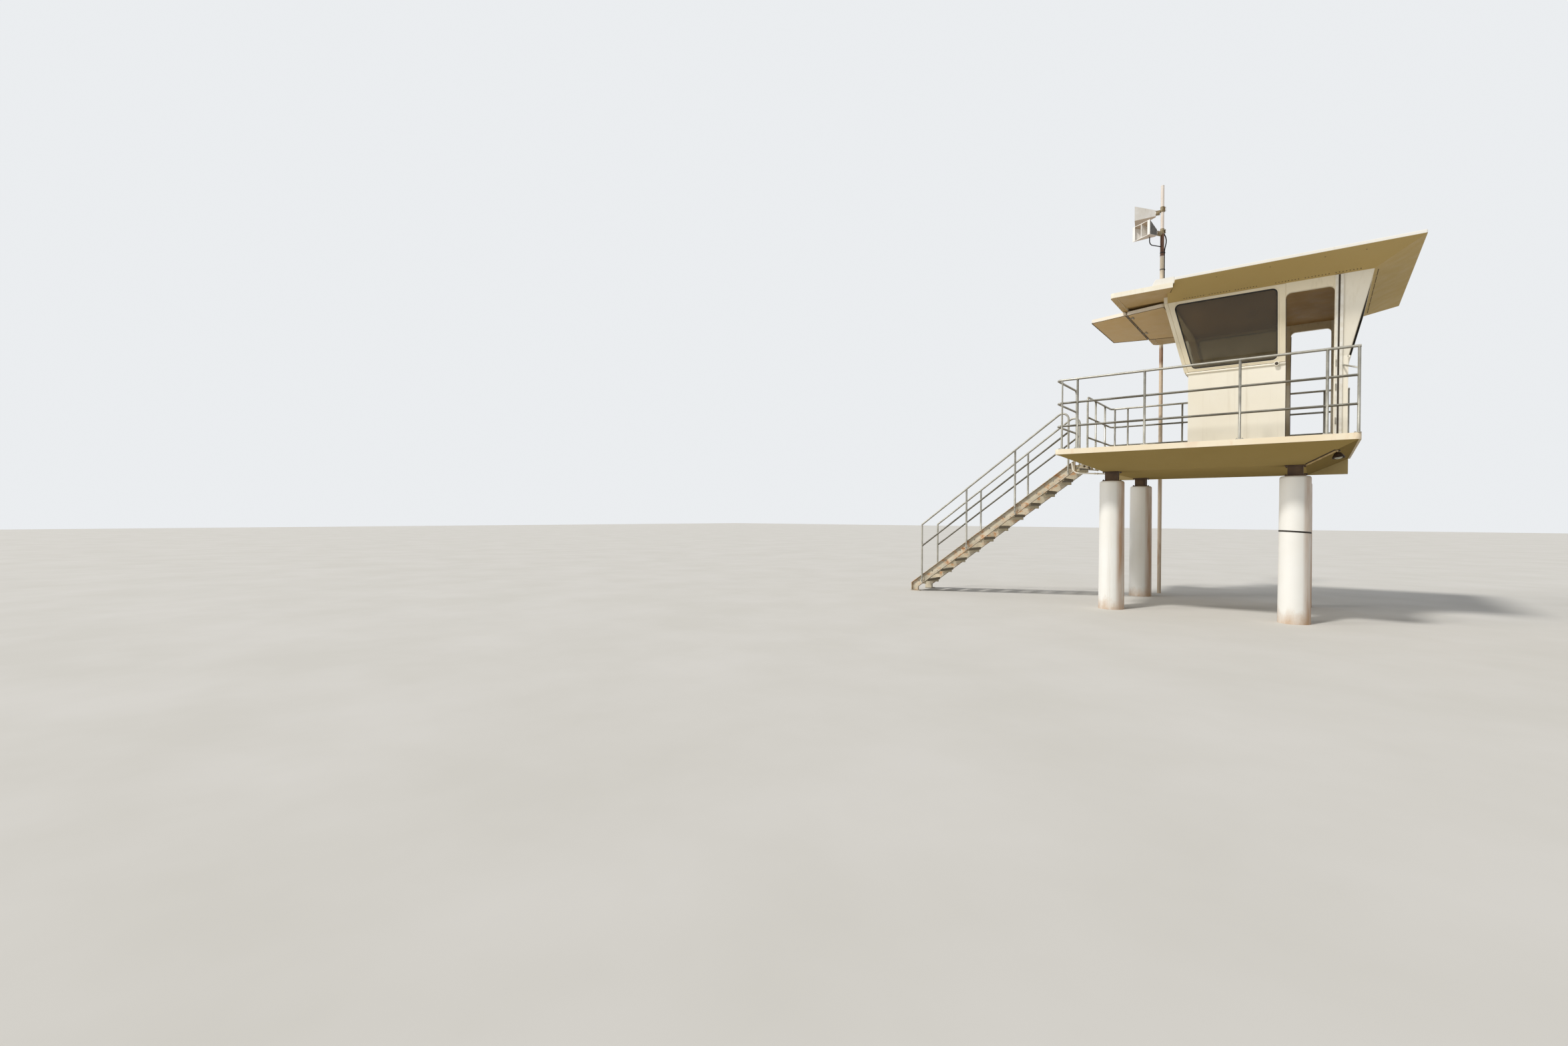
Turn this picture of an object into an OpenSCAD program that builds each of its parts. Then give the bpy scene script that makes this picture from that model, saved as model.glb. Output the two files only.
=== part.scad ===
// Lifeguard tower: a moulded deck and cabin on four round columns, with a steel stair.
// Origin at the centre of the near left column's foot, X along the deck, Y to the far side.

/* [Columns] */
// Spacing of the columns along the deck
col_dx = 2330; // [2200:10:2500]
// Spacing of the columns across the deck
col_dy = 2270; // [2150:10:2400]
// Diameter of a column at its foot
col_d = 375; // [330:5:420]
// Diameter of a column at its top
col_top_d = 357; // [320:1:400]
// Height of a column
col_h = 2030; // [1800:10:2300]
// Rounding of a column's top edge
col_round = 32; // [20:1:60]
// Side of the square steel head on a column
head_side = 175; // [140:5:210]
// Height of the steel head
head_h = 150; // [110:5:200]

/* [Deck] */
// Reach of the deck past the left and right columns
over_end = 660; // [560:10:760]
// Reach of the deck past the near columns
over_near = 795; // [700:5:850]
// Reach of the deck past the far columns
over_far = 525; // [450:5:600]
// Thickness of the deck's edge
deck_t = 80; // [60:1:100]
// Depth of the sloping pan under the deck
pan_h = 250; // [200:5:300]
// Laminate thickness of the pan
pan_t = 15; // [10:1:25]
// Radius of the deck's corners in plan
deck_r = 60; // [30:5:100]

/* [Cabin] */
// Length of the cabin at the floor
cab_w = 1830; // [1700:10:1900]
// Width of the cabin at the floor, near wall to far wall
cab_d = 2130; // [2000:10:2200]
// Gap between the cabin's right wall and the deck's right edge
cab_gap = 115; // [90:5:150]
// Thickness of the cabin walls
wall_t = 50; // [40:1:70]
// Height of the upright lower walls
sill_h = 1100; // [1000:10:1200]
// Height of the leaning upper walls
upper_h = 1020; // [950:10:1100]
// How far the upper walls lean out at their head
lean = 240; // [180:5:280]
// Width of the doorways
door_w = 515; // [480:5:560]
// Width of the wall right of a doorway
jamb_w = 150; // [130:5:170]
// Height of the doorway's head under the wall head
door_drop = 125; // [90:5:150]
// Width of the pillar between window and doorway
pillar_w = 90; // [70:5:110]
// Width of the corner posts beside the left opening
side_post = 205; // [150:5:240]
// Reach of the left opening's frame in front of its wall
frame_out = 50; // [35:1:60]
// Radius of the window corners
win_r = 65; // [40:1:90]

/* [Roof] */
// Reach of the roof past the wall heads
eave = 445; // [380:5:480]
// Rise of the sloping soffit
soffit_rise = 190; // [150:5:230]
// Thickness of the roof's edge
roof_t = 40; // [30:1:60]
// Crown of the roof at its middle
crown = 70; // [40:5:100]
// Thickness of the end visor
visor_t = 70; // [50:1:80]
// Reach of the end visor past the left wall's head
visor_out = 692; // [640:2:760]
// Radius of the visor's near corner
visor_near_r = 55; // [40:5:90]
// Radius of the visor's far corner
visor_far_r = 115; // [80:5:160]
// Width of the rim under the visor's outer edge
rim_w = 80; // [60:5:100]

/* [Shutter] */
// Width of one leaf of the folding shutter
leaf_w = 545; // [500:5:570]
// Thickness of a leaf
leaf_t = 55; // [35:1:60]

/* [Rails] */
// Diameter of the rail tube
tube_d = 34; // [30:1:50]
// Diameter of the middle and low bars
bar_d = 32; // [28:1:40]
// Height of the top rail over the deck
rail_h = 1070; // [1000:10:1100]
// Inset of the rails from the deck's edge
rail_in = 30; // [25:1:45]
// Radius of the rail bends
bend_r = 70; // [55:5:90]

/* [Stair] */
// Number of treads
tread_n = 11; // [10:1:12]
// Going of a step
going = 283; // [274:1:290]
// Length of a tread along the stair
tread_l = 250; // [230:5:270]
// Thickness of a tread
tread_t = 50; // [40:1:60]
// Height of the first tread above the ground
first_step = 238; // [200:1:250]
// Height of the deck over the last tread
last_step = 170; // [150:1:200]
// Clear width between the stringers
stair_w = 560; // [520:5:620]
// Distance from the near rail to the stair's near side
stair_y = 1105; // [1000:5:1150]
// Depth of a stringer across its slope
string_d = 145; // [120:1:160]
// Flange width of a stringer
string_b = 50; // [40:1:60]
// Height of the stair handrail over the tread noses
hand_h = 942; // [880:2:1000]
// Radius of the handrail's bend at the top of the stair
hand_r = 100; // [80:5:130]

/* [Mast] */
// Height of the mast
mast_h = 7800; // [7000:50:8200]
// Diameter of the mast
mast_d = 68; // [60:1:80]
// Diameter of the mast's top tube
mast_top_d = 58; // [48:1:60]
// Distance of the mast's axis beyond the deck's far edge
mast_off = 155; // [130:5:180]
// Distance of the upper horn's axis below the mast's top
horn_drop = 510; // [400:10:600]
// Distance of the lower horn's axis below the upper one
horn_gap = 418; // [380:2:460]
// Length of a horn's bell
horn_l = 355; // [320:5:400]
// Width of a horn's mouth
horn_w = 400; // [340:5:440]
// Height of a horn's mouth
horn_h = 275; // [240:5:310]

/* [Hidden] */
$fn = 48;

// Deck outline and levels
deck_x0 = -over_end;
deck_x1 = col_dx + over_end;
deck_y0 = -over_near;
deck_y1 = col_dy + over_far;
deck_l = deck_x1 - deck_x0;
mid_y = (deck_y0 + deck_y1) / 2;
pan_z = col_h + head_h;
slab_z = pan_z + pan_h;
deck_z = slab_z + deck_t;
flat_out = 22;
flat_edge = head_side / 2 + flat_out;
pan_in = 25;
bulk_t = 40;

// Cabin outline and levels
cab_x1 = deck_x1 - cab_gap;
cab_x0 = cab_x1 - cab_w;
cab_y0 = mid_y - cab_d / 2;
cab_y1 = mid_y + cab_d / 2;
sill_z = deck_z + sill_h;
head_z = sill_z + upper_h;
door_x1 = cab_x1 - jamb_w;
door_x0 = door_x1 - door_w;
win_x1 = door_x0 - pillar_w;
win_up = 45;
win_down = 40;
win_z0 = sill_z + win_up;
win_z1 = head_z - win_down;
post_w = 65;
bead_h = 30;
bead_out = 22;
knob_r = 30;
knob_l = 24;
knob_in = 100;
slope = lean / upper_h;
glass_t = 8;
glass_in = 20;
door_head_z = head_z - door_drop;
ceil_t = 20;

// Cutting bodies reach past everything
far = col_dx + 3 * col_h;
big = far + mast_h;

// Roof outline and levels
eave_z = head_z + soffit_rise;
roof_z = eave_z + roof_t;
head_x0 = cab_x0 - lean;
head_x1 = cab_x1 + lean;
head_y0 = cab_y0 - lean;
head_y1 = cab_y1 + lean;
roof_y0 = head_y0 - eave;
roof_y1 = head_y1 + eave;
roof_x1 = head_x1 + eave;
roof_cut = 160;
soffit_cut = 55;
skin_t = 25;
visor_down = 70;
visor_top = roof_z - visor_down;
visor_z = visor_top - visor_t;
visor_x0 = head_x0 - visor_out;
panel_in = 25;
panel_d = 12;
pocket_d = 40;
pocket_side = 5;
visor_gap = 30;
cap_up = 25;
cap_sink = 50;
cap_over = 10;
cap_r = visor_down + crown + cap_up + cap_sink + cap_over;
cap_l = 150;
cap_in = 45;

// Shutter: two leaves that close the left opening, folded up level under the visor
leaf_down = 25;
leaf_z = head_z + leaf_down;
leaf_gap = 12;
leaf_r = 40;
leaf_side = 45;
hinge_gap = 35;
head_out = head_x0 - frame_out;
hinge_x = head_out - hinge_gap;
joint_x = hinge_x - leaf_w;
leaf_x0 = joint_x - leaf_gap - leaf_w;
hinge_l = 90;
hinge_t = 40;
stay_r = 10;
stay_in = 25;
fitting_in = 250;
fitting_y = [cab_y0 + fitting_in, mid_y, cab_y1 - fitting_in];
latch_y = [lerp(cab_y0, cab_y1, 0.165), lerp(cab_y0, cab_y1, 0.68)];
latch_l = 130;
latch_w = 16;
latch_t = 10;
latch_in = 45;

// Lamp under the right slope of the pan, and the conduit that feeds it
hip_dx = over_end - pan_in - flat_edge;
hip_dy = over_near - pan_in - flat_edge;
lamp_out = 326;
lamp_side = 300;
lamp_drop = 85;
lamp_h = 55;
lamp_l = 120;
lamp_w = 160;
lamp_tail = 15;
lamp_stem_r = 14;
lamp_x = col_dx + flat_edge + lamp_out;
lamp_z = pan_z + pan_h * lamp_out / hip_dx - lamp_drop;
conduit_r = 11;
conduit_from = 0.02;
conduit_to = 0.6;
conduit_drop = conduit_r / cos(atan(pan_h / norm([hip_dx, hip_dy])));

// Rails
tube_r = tube_d / 2;
bar_r = bar_d / 2;
rail_x0 = deck_x0 + rail_in;
rail_x1 = deck_x1 - rail_in;
rail_y0 = deck_y0 + rail_in;
rail_y1 = deck_y1 - rail_in;
top_z = deck_z + rail_h;
mid_z = deck_z + rail_h * 2 / 3;
low_z = deck_z + rail_h / 3;
second_post = 300;
post_gap = 20;
tie_h = 800;
tie_rise = 180;
tie_in = 60;
tie_r = 10;

// Stair
rise = (deck_z - last_step - first_step) / (tread_n - 1);
tuck = 98;
back_x = deck_x0 + tuck - going * (tread_n - 1);
stair_a = atan(rise / going);
edge_drop = 26;
string_v = string_d / cos(stair_a);
web_t = 9;
flange_t = 10;
foot_out = 78;
foot_x = back_x - tread_l - foot_out;
plate_t = 12;
plate_out = 12;
angle_t = 8;
angle_w = 50;
angle_in = 30;
mid_drop = 418;
stair_y0 = rail_y0 + stair_y;
stair_y1 = stair_y0 + stair_w + 2 * string_b;
post_foot = 240;
post_top = 100;
post_up = 15;
stair_rail_y = [stair_y0 - tube_r, stair_y1 + tube_r];

// Mast
mast_in = 90;
mast_x = visor_x0 + mast_in;
mast_y = deck_y1 + mast_off;
bracket_w = 60;
bracket_t = 50;
bracket_up = 10;
bracket_in = 120;

// Horns: bearing of each one's axis in plan, reach of its mouth from the mast, and its walls
horn_side = [189, 236];
horn_reach = [466, 512];
horn_z = [mast_h - horn_drop, mast_h - horn_drop - horn_gap];
horn_t = 7;
throat_w = 60;
throat_h = 110;
throat_r = 38;
throat_gap = 8;
horn_turn = atan((horn_w - throat_w) / 4 / horn_l);
clamp_t = 7;
clamp_h = 100;
clamp_up = 6;
arm_w = 24;
arm_h = 44;
joint_up = 3;
mast_joint_z = horn_z[1] + joint_up;
cable_r = 9;
cable_in = 150;
cable_drop = 75;
cable_bend = 72;

function lerp(a, b, t) = a + (b - a) * t;
// Height of the line over the tread noses, and of the stringers' top and bottom edges below it
function nose_z(x) = first_step + (x + tread_l - back_x) / going * rise;
function edge_z(x) = nose_z(x) - edge_drop;
function low_z_at(x) = edge_z(x) - string_v;
stair_posts = [for (i = [0 : 3]) lerp(foot_x + post_foot, deck_x0 - post_top, i / 3)];
left_posts = [stair_y0 - post_gap, stair_y1 + post_gap,
    lerp(stair_y1, rail_y1, 0.33), lerp(stair_y1, rail_y1, 0.72)];
near_posts = [rail_x0 + bend_r, rail_x0 + second_post, lerp(rail_x0, rail_x1, 0.34),
    lerp(rail_x0, rail_x1, 0.66), lerp(rail_x0, rail_x1, 0.915), rail_x1];

// Upright tube between two heights
module upright(x, y, z0, z1) {
    translate([x, y, z0]) cylinder(r = tube_r, h = z1 - z0);
}

// Tube between two points
module tube(a, b, r) {
    d = b - a;
    l = norm(d);
    translate(a) rotate([0, acos(d[2] / l), atan2(d[1], d[0])]) cylinder(r = r, h = l);
}

// Quarter bend of tube around a centre, in plan, from one angle on
module plan_bend(x, y, z, a, bend, r) {
    translate([x, y, z]) rotate([0, 0, a]) rotate_extrude(angle = 90) translate([bend, 0]) circle(r = r);
}

// Convex outline with round corners of radius r around the points of p, counter-clockwise
module round_outline(p, r) {
    n = len(p);
    function out(i) = let(d = p[(i + 1) % n] - p[i]) [d[1], -d[0]] / norm(d) * r;
    polygon([for (i = [0 : n - 1]) for (k = [n - 1, 0]) p[i] + out((i + k) % n)]);
    for (q = p) translate(q) circle(r = r);
}

// Rectangle with round corners of radius r
module round_rect(x0, y0, x1, y1, r) {
    round_outline([[x0 + r, y0 + r], [x1 - r, y0 + r], [x1 - r, y1 - r], [x0 + r, y1 - r]], r);
}

// Outline in X and Z swept along Y
module sweep_y(y0, y1) {
    translate([0, y1, 0]) rotate([90, 0, 0]) linear_extrude(height = y1 - y0) children();
}

// Outline in Y and Z swept along X
module sweep_x(x0, x1) {
    translate([x0, 0, 0]) rotate([90, 0, 90]) linear_extrude(height = x1 - x0) children();
}

// Mirrored copy on the other side of the deck's middle line
module on_far_side() {
    translate([0, 2 * mid_y, 0]) mirror([0, 1, 0]) children();
}

module column(x, y) {
    r = col_top_d / 2;
    color("ivory") translate([x, y, 0]) rotate_extrude() {
        polygon([[0, 0], [col_d / 2, 0], [r, col_h - col_round], [r - col_round, col_h], [0, col_h]]);
        translate([r - col_round, col_h - col_round]) circle(r = col_round);
    }
}

module column_heads() {
    color("saddlebrown") for (x = [0, col_dx], y = [0, col_dy])
        translate([x - head_side / 2, y - head_side / 2, col_h]) cube([head_side, head_side, head_h]);
}

// Sloping body of the pan, lifted by up
module pan_body(up) {
    intersection() {
        sweep_y(deck_y0, deck_y1 - bulk_t + up) polygon([
            [deck_x0 + pan_in, slab_z + up], [-flat_edge, pan_z + up],
            [col_dx + flat_edge, pan_z + up], [deck_x1 - pan_in, slab_z + up]]);
        sweep_x(deck_x0, deck_x1) polygon([
            [deck_y0 + pan_in, slab_z + up], [-flat_edge, pan_z + up],
            [deck_y1 - bulk_t + up, pan_z + up], [deck_y1 - bulk_t + up, slab_z + up]]);
    }
}

module deck_pan() {
    color("burlywood") difference() {
        pan_body(0);
        pan_body(pan_t);
    }
}

module far_bulkhead() {
    color("burlywood") translate([deck_x0 + pan_in, deck_y1 - bulk_t, pan_z])
        cube([deck_l - 2 * pan_in, bulk_t, pan_h]);
}

module deck_floor() {
    color("wheat") translate([0, 0, slab_z]) linear_extrude(height = deck_t)
        round_rect(deck_x0, deck_y0, deck_x1, deck_y1, deck_r);
}

// Lower wall slab between two corners
module lower_slab(x0, y0, x1, y1) {
    translate([x0, y0, deck_z]) cube([x1 - x0, y1 - y0, sill_h]);
}

// Half-round bead under the sill, as an outline that points to -X
module bead_outline() {
    r = bead_h / 2;
    translate([-bead_out + r, 0]) square([bead_out - r, bead_h]);
    translate([-bead_out + r, r]) circle(r = r);
}

module near_lower() {
    lower_slab(cab_x0, cab_y0, door_x0, cab_y0 + wall_t);
    translate([0, cab_y0, sill_z - bead_h]) sweep_x(cab_x0 - bead_out, door_x0) bead_outline();
}

module near_lower_wall() {
    color("ivory") {
        near_lower();
        translate([door_x0 - knob_in, cab_y0, sill_z - bead_h / 2]) rotate([90, 0, 0])
            cylinder(r = knob_r, h = bead_out + knob_l);
    }
}

module far_lower_wall() {
    color("ivory") on_far_side() near_lower();
}

module left_lower() {
    lower_slab(cab_x0, cab_y0 + wall_t, cab_x0 + wall_t, cab_y1 - wall_t);
    translate([cab_x0, 0, sill_z - bead_h]) sweep_y(cab_y0, cab_y1) bead_outline();
}

module left_lower_wall() {
    color("ivory") left_lower();
}

module right_lower_wall() {
    color("ivory") on_right_side() left_lower();
}

// Leaning upper wall seen along its run: from depth a to depth b behind its outer face
function leaning(edge, a, b) = [[edge + a, sill_z], [edge + b, sill_z],
    [edge - lean + b, head_z], [edge - lean + a, head_z]];

// Outline of the upper cabin between two leaning walls, set in by off
function upper_outline(e0, e1, off) = [[e0 + off, sill_z], [e1 - off, sill_z],
    [e1 + lean - off, head_z], [e0 - lean + off, head_z]];

// Near upper wall from depth a to depth b, between x0 and x1
module near_leaf(a, b, x0, x1) {
    intersection() {
        sweep_y(-far, far) polygon(upper_outline(cab_x0, cab_x1, 0));
        sweep_x(x0, x1) polygon(leaning(cab_y0, a, b));
    }
}

// Left upper wall from depth a to depth b, its ends set in by off
module left_leaf(a, b, off) {
    intersection() {
        sweep_x(-far, far) polygon(upper_outline(cab_y0, cab_y1, off));
        sweep_y(-far, big) polygon(leaning(cab_x0, a, b));
    }
}

// Mirrored copy on the right side of the cabin
module on_right_side() {
    translate([cab_x0 + cab_x1, 0, 0]) mirror([1, 0, 0]) children();
}

// Window hole of the near wall, its left side leaning with the corner
module near_window_hole() {
    function edge(z) = cab_x0 - (z - sill_z) * slope + post_w;
    zb = win_z0 + win_r;
    zt = win_z1 - win_r;
    sweep_y(cab_y0 - lean - wall_t, cab_y0 + 2 * wall_t) round_outline([
        [edge(zb) + win_r, zb], [win_x1 - win_r, zb], [win_x1 - win_r, zt], [edge(zt) + win_r, zt]], win_r);
}

// Window hole of the left wall, between its corner posts
module left_window_hole() {
    function edge(z) = (z - sill_z) * slope - side_post;
    zb = win_z0 + win_r;
    zt = win_z1 - win_r;
    sweep_x(cab_x0 - lean - wall_t, cab_x0 + 2 * wall_t) round_outline([
        [cab_y0 - edge(zb) + win_r, zb], [cab_y1 + edge(zb) - win_r, zb],
        [cab_y1 + edge(zt) - win_r, zt], [cab_y0 - edge(zt) + win_r, zt]], win_r);
}

// Doorway through the near wall
module near_doorway() {
    zt = door_head_z - win_r;
    sweep_y(cab_y0 - lean - wall_t, cab_y0 + 2 * wall_t) {
        translate([door_x0, slab_z]) square([door_w, zt - slab_z]);
        translate([door_x0 + win_r, slab_z]) square([door_w - 2 * win_r, door_head_z - slab_z]);
        for (x = [door_x0 + win_r, door_x1 - win_r]) translate([x, zt]) circle(r = win_r);
    }
}

// Upper near wall, its parts between x0 and x1
module near_upper(x0, x1) {
    difference() {
        near_leaf(0, wall_t, x0, x1);
        near_window_hole();
        near_doorway();
    }
}

module near_window_wall() {
    color("ivory") near_upper(-far, door_x0);
}

module near_door_head() {
    color("ivory") near_upper(door_x0, door_x1);
}

module door_post() {
    lower_slab(door_x1, cab_y0, cab_x1, cab_y0 + wall_t);
    near_upper(door_x1, big);
}

module near_door_post() {
    color("ivory") door_post();
}

module far_window_wall() {
    color("ivory") on_far_side() near_upper(-far, door_x0);
}

module far_door_head() {
    color("ivory") on_far_side() near_upper(door_x0, door_x1);
}

module far_door_post() {
    color("ivory") on_far_side() door_post();
}

// Left wall with the frame that stands in front of it
module left_opening_wall() {
    color("ivory") difference() {
        union() {
            left_leaf(0, wall_t, wall_t);
            left_leaf(-frame_out, 0, 0);
        }
        left_window_hole();
    }
}

module right_window_wall() {
    color("ivory") on_right_side() difference() {
        left_leaf(0, wall_t, wall_t);
        left_window_hole();
    }
}

module near_glass() {
    intersection() {
        near_leaf(glass_in, glass_in + glass_t, -far, door_x0);
        near_window_hole();
    }
}

module near_window_glass() {
    color("darkslategray") near_glass();
}

module far_window_glass() {
    color("darkslategray") on_far_side() near_glass();
}

module right_window_glass() {
    color("darkslategray") on_right_side() intersection() {
        left_leaf(glass_in, glass_in + glass_t, wall_t);
        left_window_hole();
    }
}

module cabin_ceiling() {
    color("linen") translate([head_x0, head_y0, head_z])
        cube([head_x1 - head_x0, head_y1 - head_y0, ceil_t]);
}

// Body that widens upward under the eaves, set up by up
module soffit_body(up) {
    intersection() {
        sweep_y(-far, far + mid_y) polygon([
            [head_x0, head_z + up], [head_x1, head_z + up], [roof_x1, eave_z + up], [head_x0, eave_z + up]]);
        sweep_x(-far, big) polygon([
            [head_y0, head_z + up], [head_y1, head_z + up], [roof_y1, eave_z + up], [roof_y0, eave_z + up]]);
    }
}

// Soffit boards all round, open over the cabin's ceiling
module soffit_skin() {
    difference() {
        soffit_body(0);
        soffit_body(skin_t);
        translate([head_x0 - 1, head_y0, head_z - 1])
            cube([head_x1 - head_x0 + 1, head_y1 - head_y0, skin_t + 2]);
    }
}

// Soffit board seen in plan between two lines from the wall head to the eave
module soffit_piece(x_head, x_eave) {
    translate([0, 0, head_z]) linear_extrude(height = soffit_rise) polygon([
        [x_eave, roof_y0], [roof_x1, roof_y0], [head_x1, head_y0], [x_head, head_y0]]);
}

// Near soffit: mitred at the right, closed by a thin upright plate at the left, and cut by the visor
module near_soffit() {
    x0 = head_x0 + soffit_cut;
    color("ivory") difference() {
        union() {
            intersection() {
                soffit_skin();
                soffit_piece(head_x0 + skin_t / 2, x0 + skin_t / 2);
            }
            intersection() {
                soffit_body(0);
                difference() {
                    soffit_piece(head_x0, x0);
                    translate([skin_t, 0, 0]) soffit_piece(head_x0, x0);
                }
            }
        }
        translate([0, 0, visor_z]) linear_extrude(height = soffit_rise) polygon([
            [head_x0 - roof_cut / 2, head_y0 + eave / 2], [visor_x0, head_y0 + eave / 2],
            [visor_x0, roof_y0 - eave / 2], [head_x0 + 1.5 * roof_cut, roof_y0 - eave / 2]]);
    }
}

module far_soffit() {
    color("ivory") on_far_side() near_soffit();
}

module right_soffit() {
    color("ivory") intersection() {
        soffit_skin();
        translate([0, 0, head_z]) linear_extrude(height = soffit_rise) polygon([
            [roof_x1, roof_y0], [roof_x1, roof_y1], [head_x1, head_y1], [head_x1, head_y0]]);
    }
}

// Roof outline in plan, from its slanting left ends to the right eave
function roof_plan() = [[head_x0 + roof_cut, roof_y0], [roof_x1, roof_y0], [roof_x1, roof_y1],
    [head_x0 + roof_cut, roof_y1], [head_x0, head_y1], [head_x0, head_y0]];

// Everything under the crowned roof line, from level z up
module under_crown(z) {
    sweep_x(-far, big) polygon([
        [roof_y0, z], [roof_y1, z], [roof_y1, roof_z], [mid_y, roof_z + crown], [roof_y0, roof_z]]);
}

module roof_top() {
    color("whitesmoke") intersection() {
        translate([0, 0, eave_z]) linear_extrude(height = big) polygon(roof_plan());
        under_crown(eave_z);
    }
}

// Visor slab in plan: round outer corners, and slanting ends that meet the wall's head and leave a
// narrow gap beside the soffits' ends
module visor_plan() {
    n = visor_near_r;
    f = visor_far_r;
    end_x = head_x0 + roof_cut - visor_gap;
    polygon([[visor_x0, roof_y0 + n], [visor_x0 + n, roof_y0], [end_x, roof_y0],
        [head_x0, head_y0], [head_x0, head_y1], [end_x, roof_y1],
        [visor_x0 + f, roof_y1], [visor_x0, roof_y1 - f]]);
    translate([visor_x0 + n, roof_y0 + n]) circle(r = n);
    translate([visor_x0 + f, roof_y1 - f]) circle(r = f);
}

// Visor with its recessed panel, the pocket over the folded shutter and the beam over the opening
module end_visor() {
    color("ivory") {
        difference() {
            translate([0, 0, visor_z]) linear_extrude(height = visor_t) visor_plan();
            translate([0, 0, slab_z]) linear_extrude(height = visor_z + panel_d - slab_z) round_rect(
                visor_x0 + rim_w, roof_y0 + panel_in, head_out, roof_y1 - panel_in, visor_near_r);
            translate([0, 0, slab_z]) linear_extrude(height = visor_z + pocket_d - slab_z) round_rect(
                visor_x0 + rim_w, cab_y0 - pocket_side, head_out, cab_y1 + pocket_side, visor_near_r);
        }
        translate([head_out, head_y0, head_z])
            cube([frame_out, head_y1 - head_y0, visor_z + panel_d - head_z]);
    }
}

// Half length of a leaf at x: it narrows outward as the opening narrows downward
function leaf_half(x) = cab_d / 2 + (win_z1 - sill_z) * slope - side_post - leaf_side
    - (hinge_x - x) * slope / sqrt(1 + slope * slope);

module shutter_leaf(x0, x1) {
    r = leaf_r;
    color("ivory") translate([0, 0, leaf_z]) linear_extrude(height = leaf_t) round_outline([
        [x0 + r, mid_y - leaf_half(x0) + r], [x1 - r, mid_y - leaf_half(x1) + r],
        [x1 - r, mid_y + leaf_half(x1) - r], [x0 + r, mid_y + leaf_half(x0) - r]], r);
}

module upper_shutter_leaf() {
    shutter_leaf(joint_x, hinge_x);
}

module lower_shutter_leaf() {
    shutter_leaf(leaf_x0, joint_x - leaf_gap);
}

// Hinges beside the leaves, short stays up to the visor's rim and latches across the joint
module shutter_fittings() {
    dz = (leaf_t - hinge_t) / 2;
    color("silver") {
        for (y = fitting_y) {
            translate([hinge_x, y - hinge_l / 2, leaf_z + dz]) cube([hinge_gap, hinge_l, hinge_t]);
            translate([joint_x - leaf_gap, y - hinge_l / 2, leaf_z + dz]) cube([leaf_gap, hinge_l, hinge_t]);
            translate([visor_x0 + stay_in, y, leaf_z + leaf_t])
                cylinder(r = stay_r, h = visor_z - leaf_z - leaf_t);
        }
        for (y = latch_y) {
            translate([joint_x - leaf_gap, y - latch_w / 2, leaf_z - latch_t])
                cube([leaf_gap + latch_in + latch_w, latch_w, latch_t]);
            translate([joint_x + latch_in, y - latch_l / 2, leaf_z - latch_t])
                cube([latch_w, latch_l, latch_t]);
        }
    }
}

// Cap across the visor's right part: round at its left edge, crowned as the roof and a little above it
module roof_cap() {
    x0 = head_x0 - cap_l + cap_r;
    color("white") difference() {
        intersection() {
            union() {
                sweep_y(roof_y0 + cap_in, roof_y1 - cap_in)
                    translate([x0, visor_top - cap_sink]) circle(r = cap_r);
                translate([x0, roof_y0 + cap_in, visor_top])
                    cube([cap_l - cap_r + roof_cut, roof_y1 - roof_y0 - 2 * cap_in, 2 * cap_r]);
            }
            translate([0, 0, cap_up]) under_crown(visor_top - cap_up);
        }
        translate([0, 0, deck_z]) linear_extrude(height = big) polygon(roof_plan());
    }
}

// Mast of two tubes, the upper one thinner
module mast() {
    color("gainsboro") translate([mast_x, mast_y, 0]) {
        cylinder(d = mast_d, h = mast_joint_z);
        cylinder(d = mast_top_d, h = mast_h);
    }
}

module mast_brackets() {
    l = mast_off - mast_d / 2;
    color("dimgray") {
        translate([mast_x - bracket_w / 2, deck_y1, slab_z + bracket_up]) cube([bracket_w, l, bracket_t]);
        translate([mast_x - bracket_w / 2, roof_y1 - bracket_in, visor_top])
            cube([bracket_w, bracket_in + deck_y1 - roof_y1 + l, bracket_t]);
    }
}

// Pyramid along X with a mouth of w by h at its end, for a bell or one of its hollows
module bell(l, w0, h0, w, h) {
    intersection() {
        translate([0, 0, -h]) linear_extrude(height = 2 * h)
            polygon([[0, -w0 / 2], [l, -w / 2], [l, w / 2], [0, w0 / 2]]);
        sweep_y(-w, w) polygon([[0, -h0 / 2], [l, -h / 2], [l, h / 2], [0, h0 / 2]]);
    }
}

// Horn with a divider in its mouth, held by an arm to a long ring round the mast
module horn(i) {
    x0 = horn_reach[i] - horn_l;
    neck = mast_d / 2 + throat_gap;
    cell = horn_w / 2 - 1.5 * horn_t;
    color("whitesmoke") translate([mast_x, mast_y, horn_z[i]]) rotate([0, 0, horn_side[i]]) difference() {
        union() {
            translate([x0, 0, 0]) bell(horn_l, throat_w, throat_h, horn_w, horn_h);
            translate([neck, 0, 0]) rotate([0, 90, 0]) cylinder(r = throat_r, h = x0 + horn_t - neck);
            translate([0, 0, clamp_up]) cylinder(r = mast_top_d / 2 + clamp_t, h = clamp_h);
            translate([0, -arm_w / 2, clamp_up]) cube([x0 + horn_t, arm_w, arm_h]);
        }
        cylinder(d = mast_top_d, h = big);
        for (y = [-1, 1]) translate([x0 + 2 * horn_t, y * throat_w / 4, 0]) rotate([0, 0, y * horn_turn])
            bell(horn_l + horn_t, throat_w / 2 - horn_t, throat_h - 2 * horn_t, cell, horn_h - 2 * horn_t);
    }
}

module upper_horn() {
    horn(0);
}

module lower_horn() {
    horn(1);
}

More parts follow.
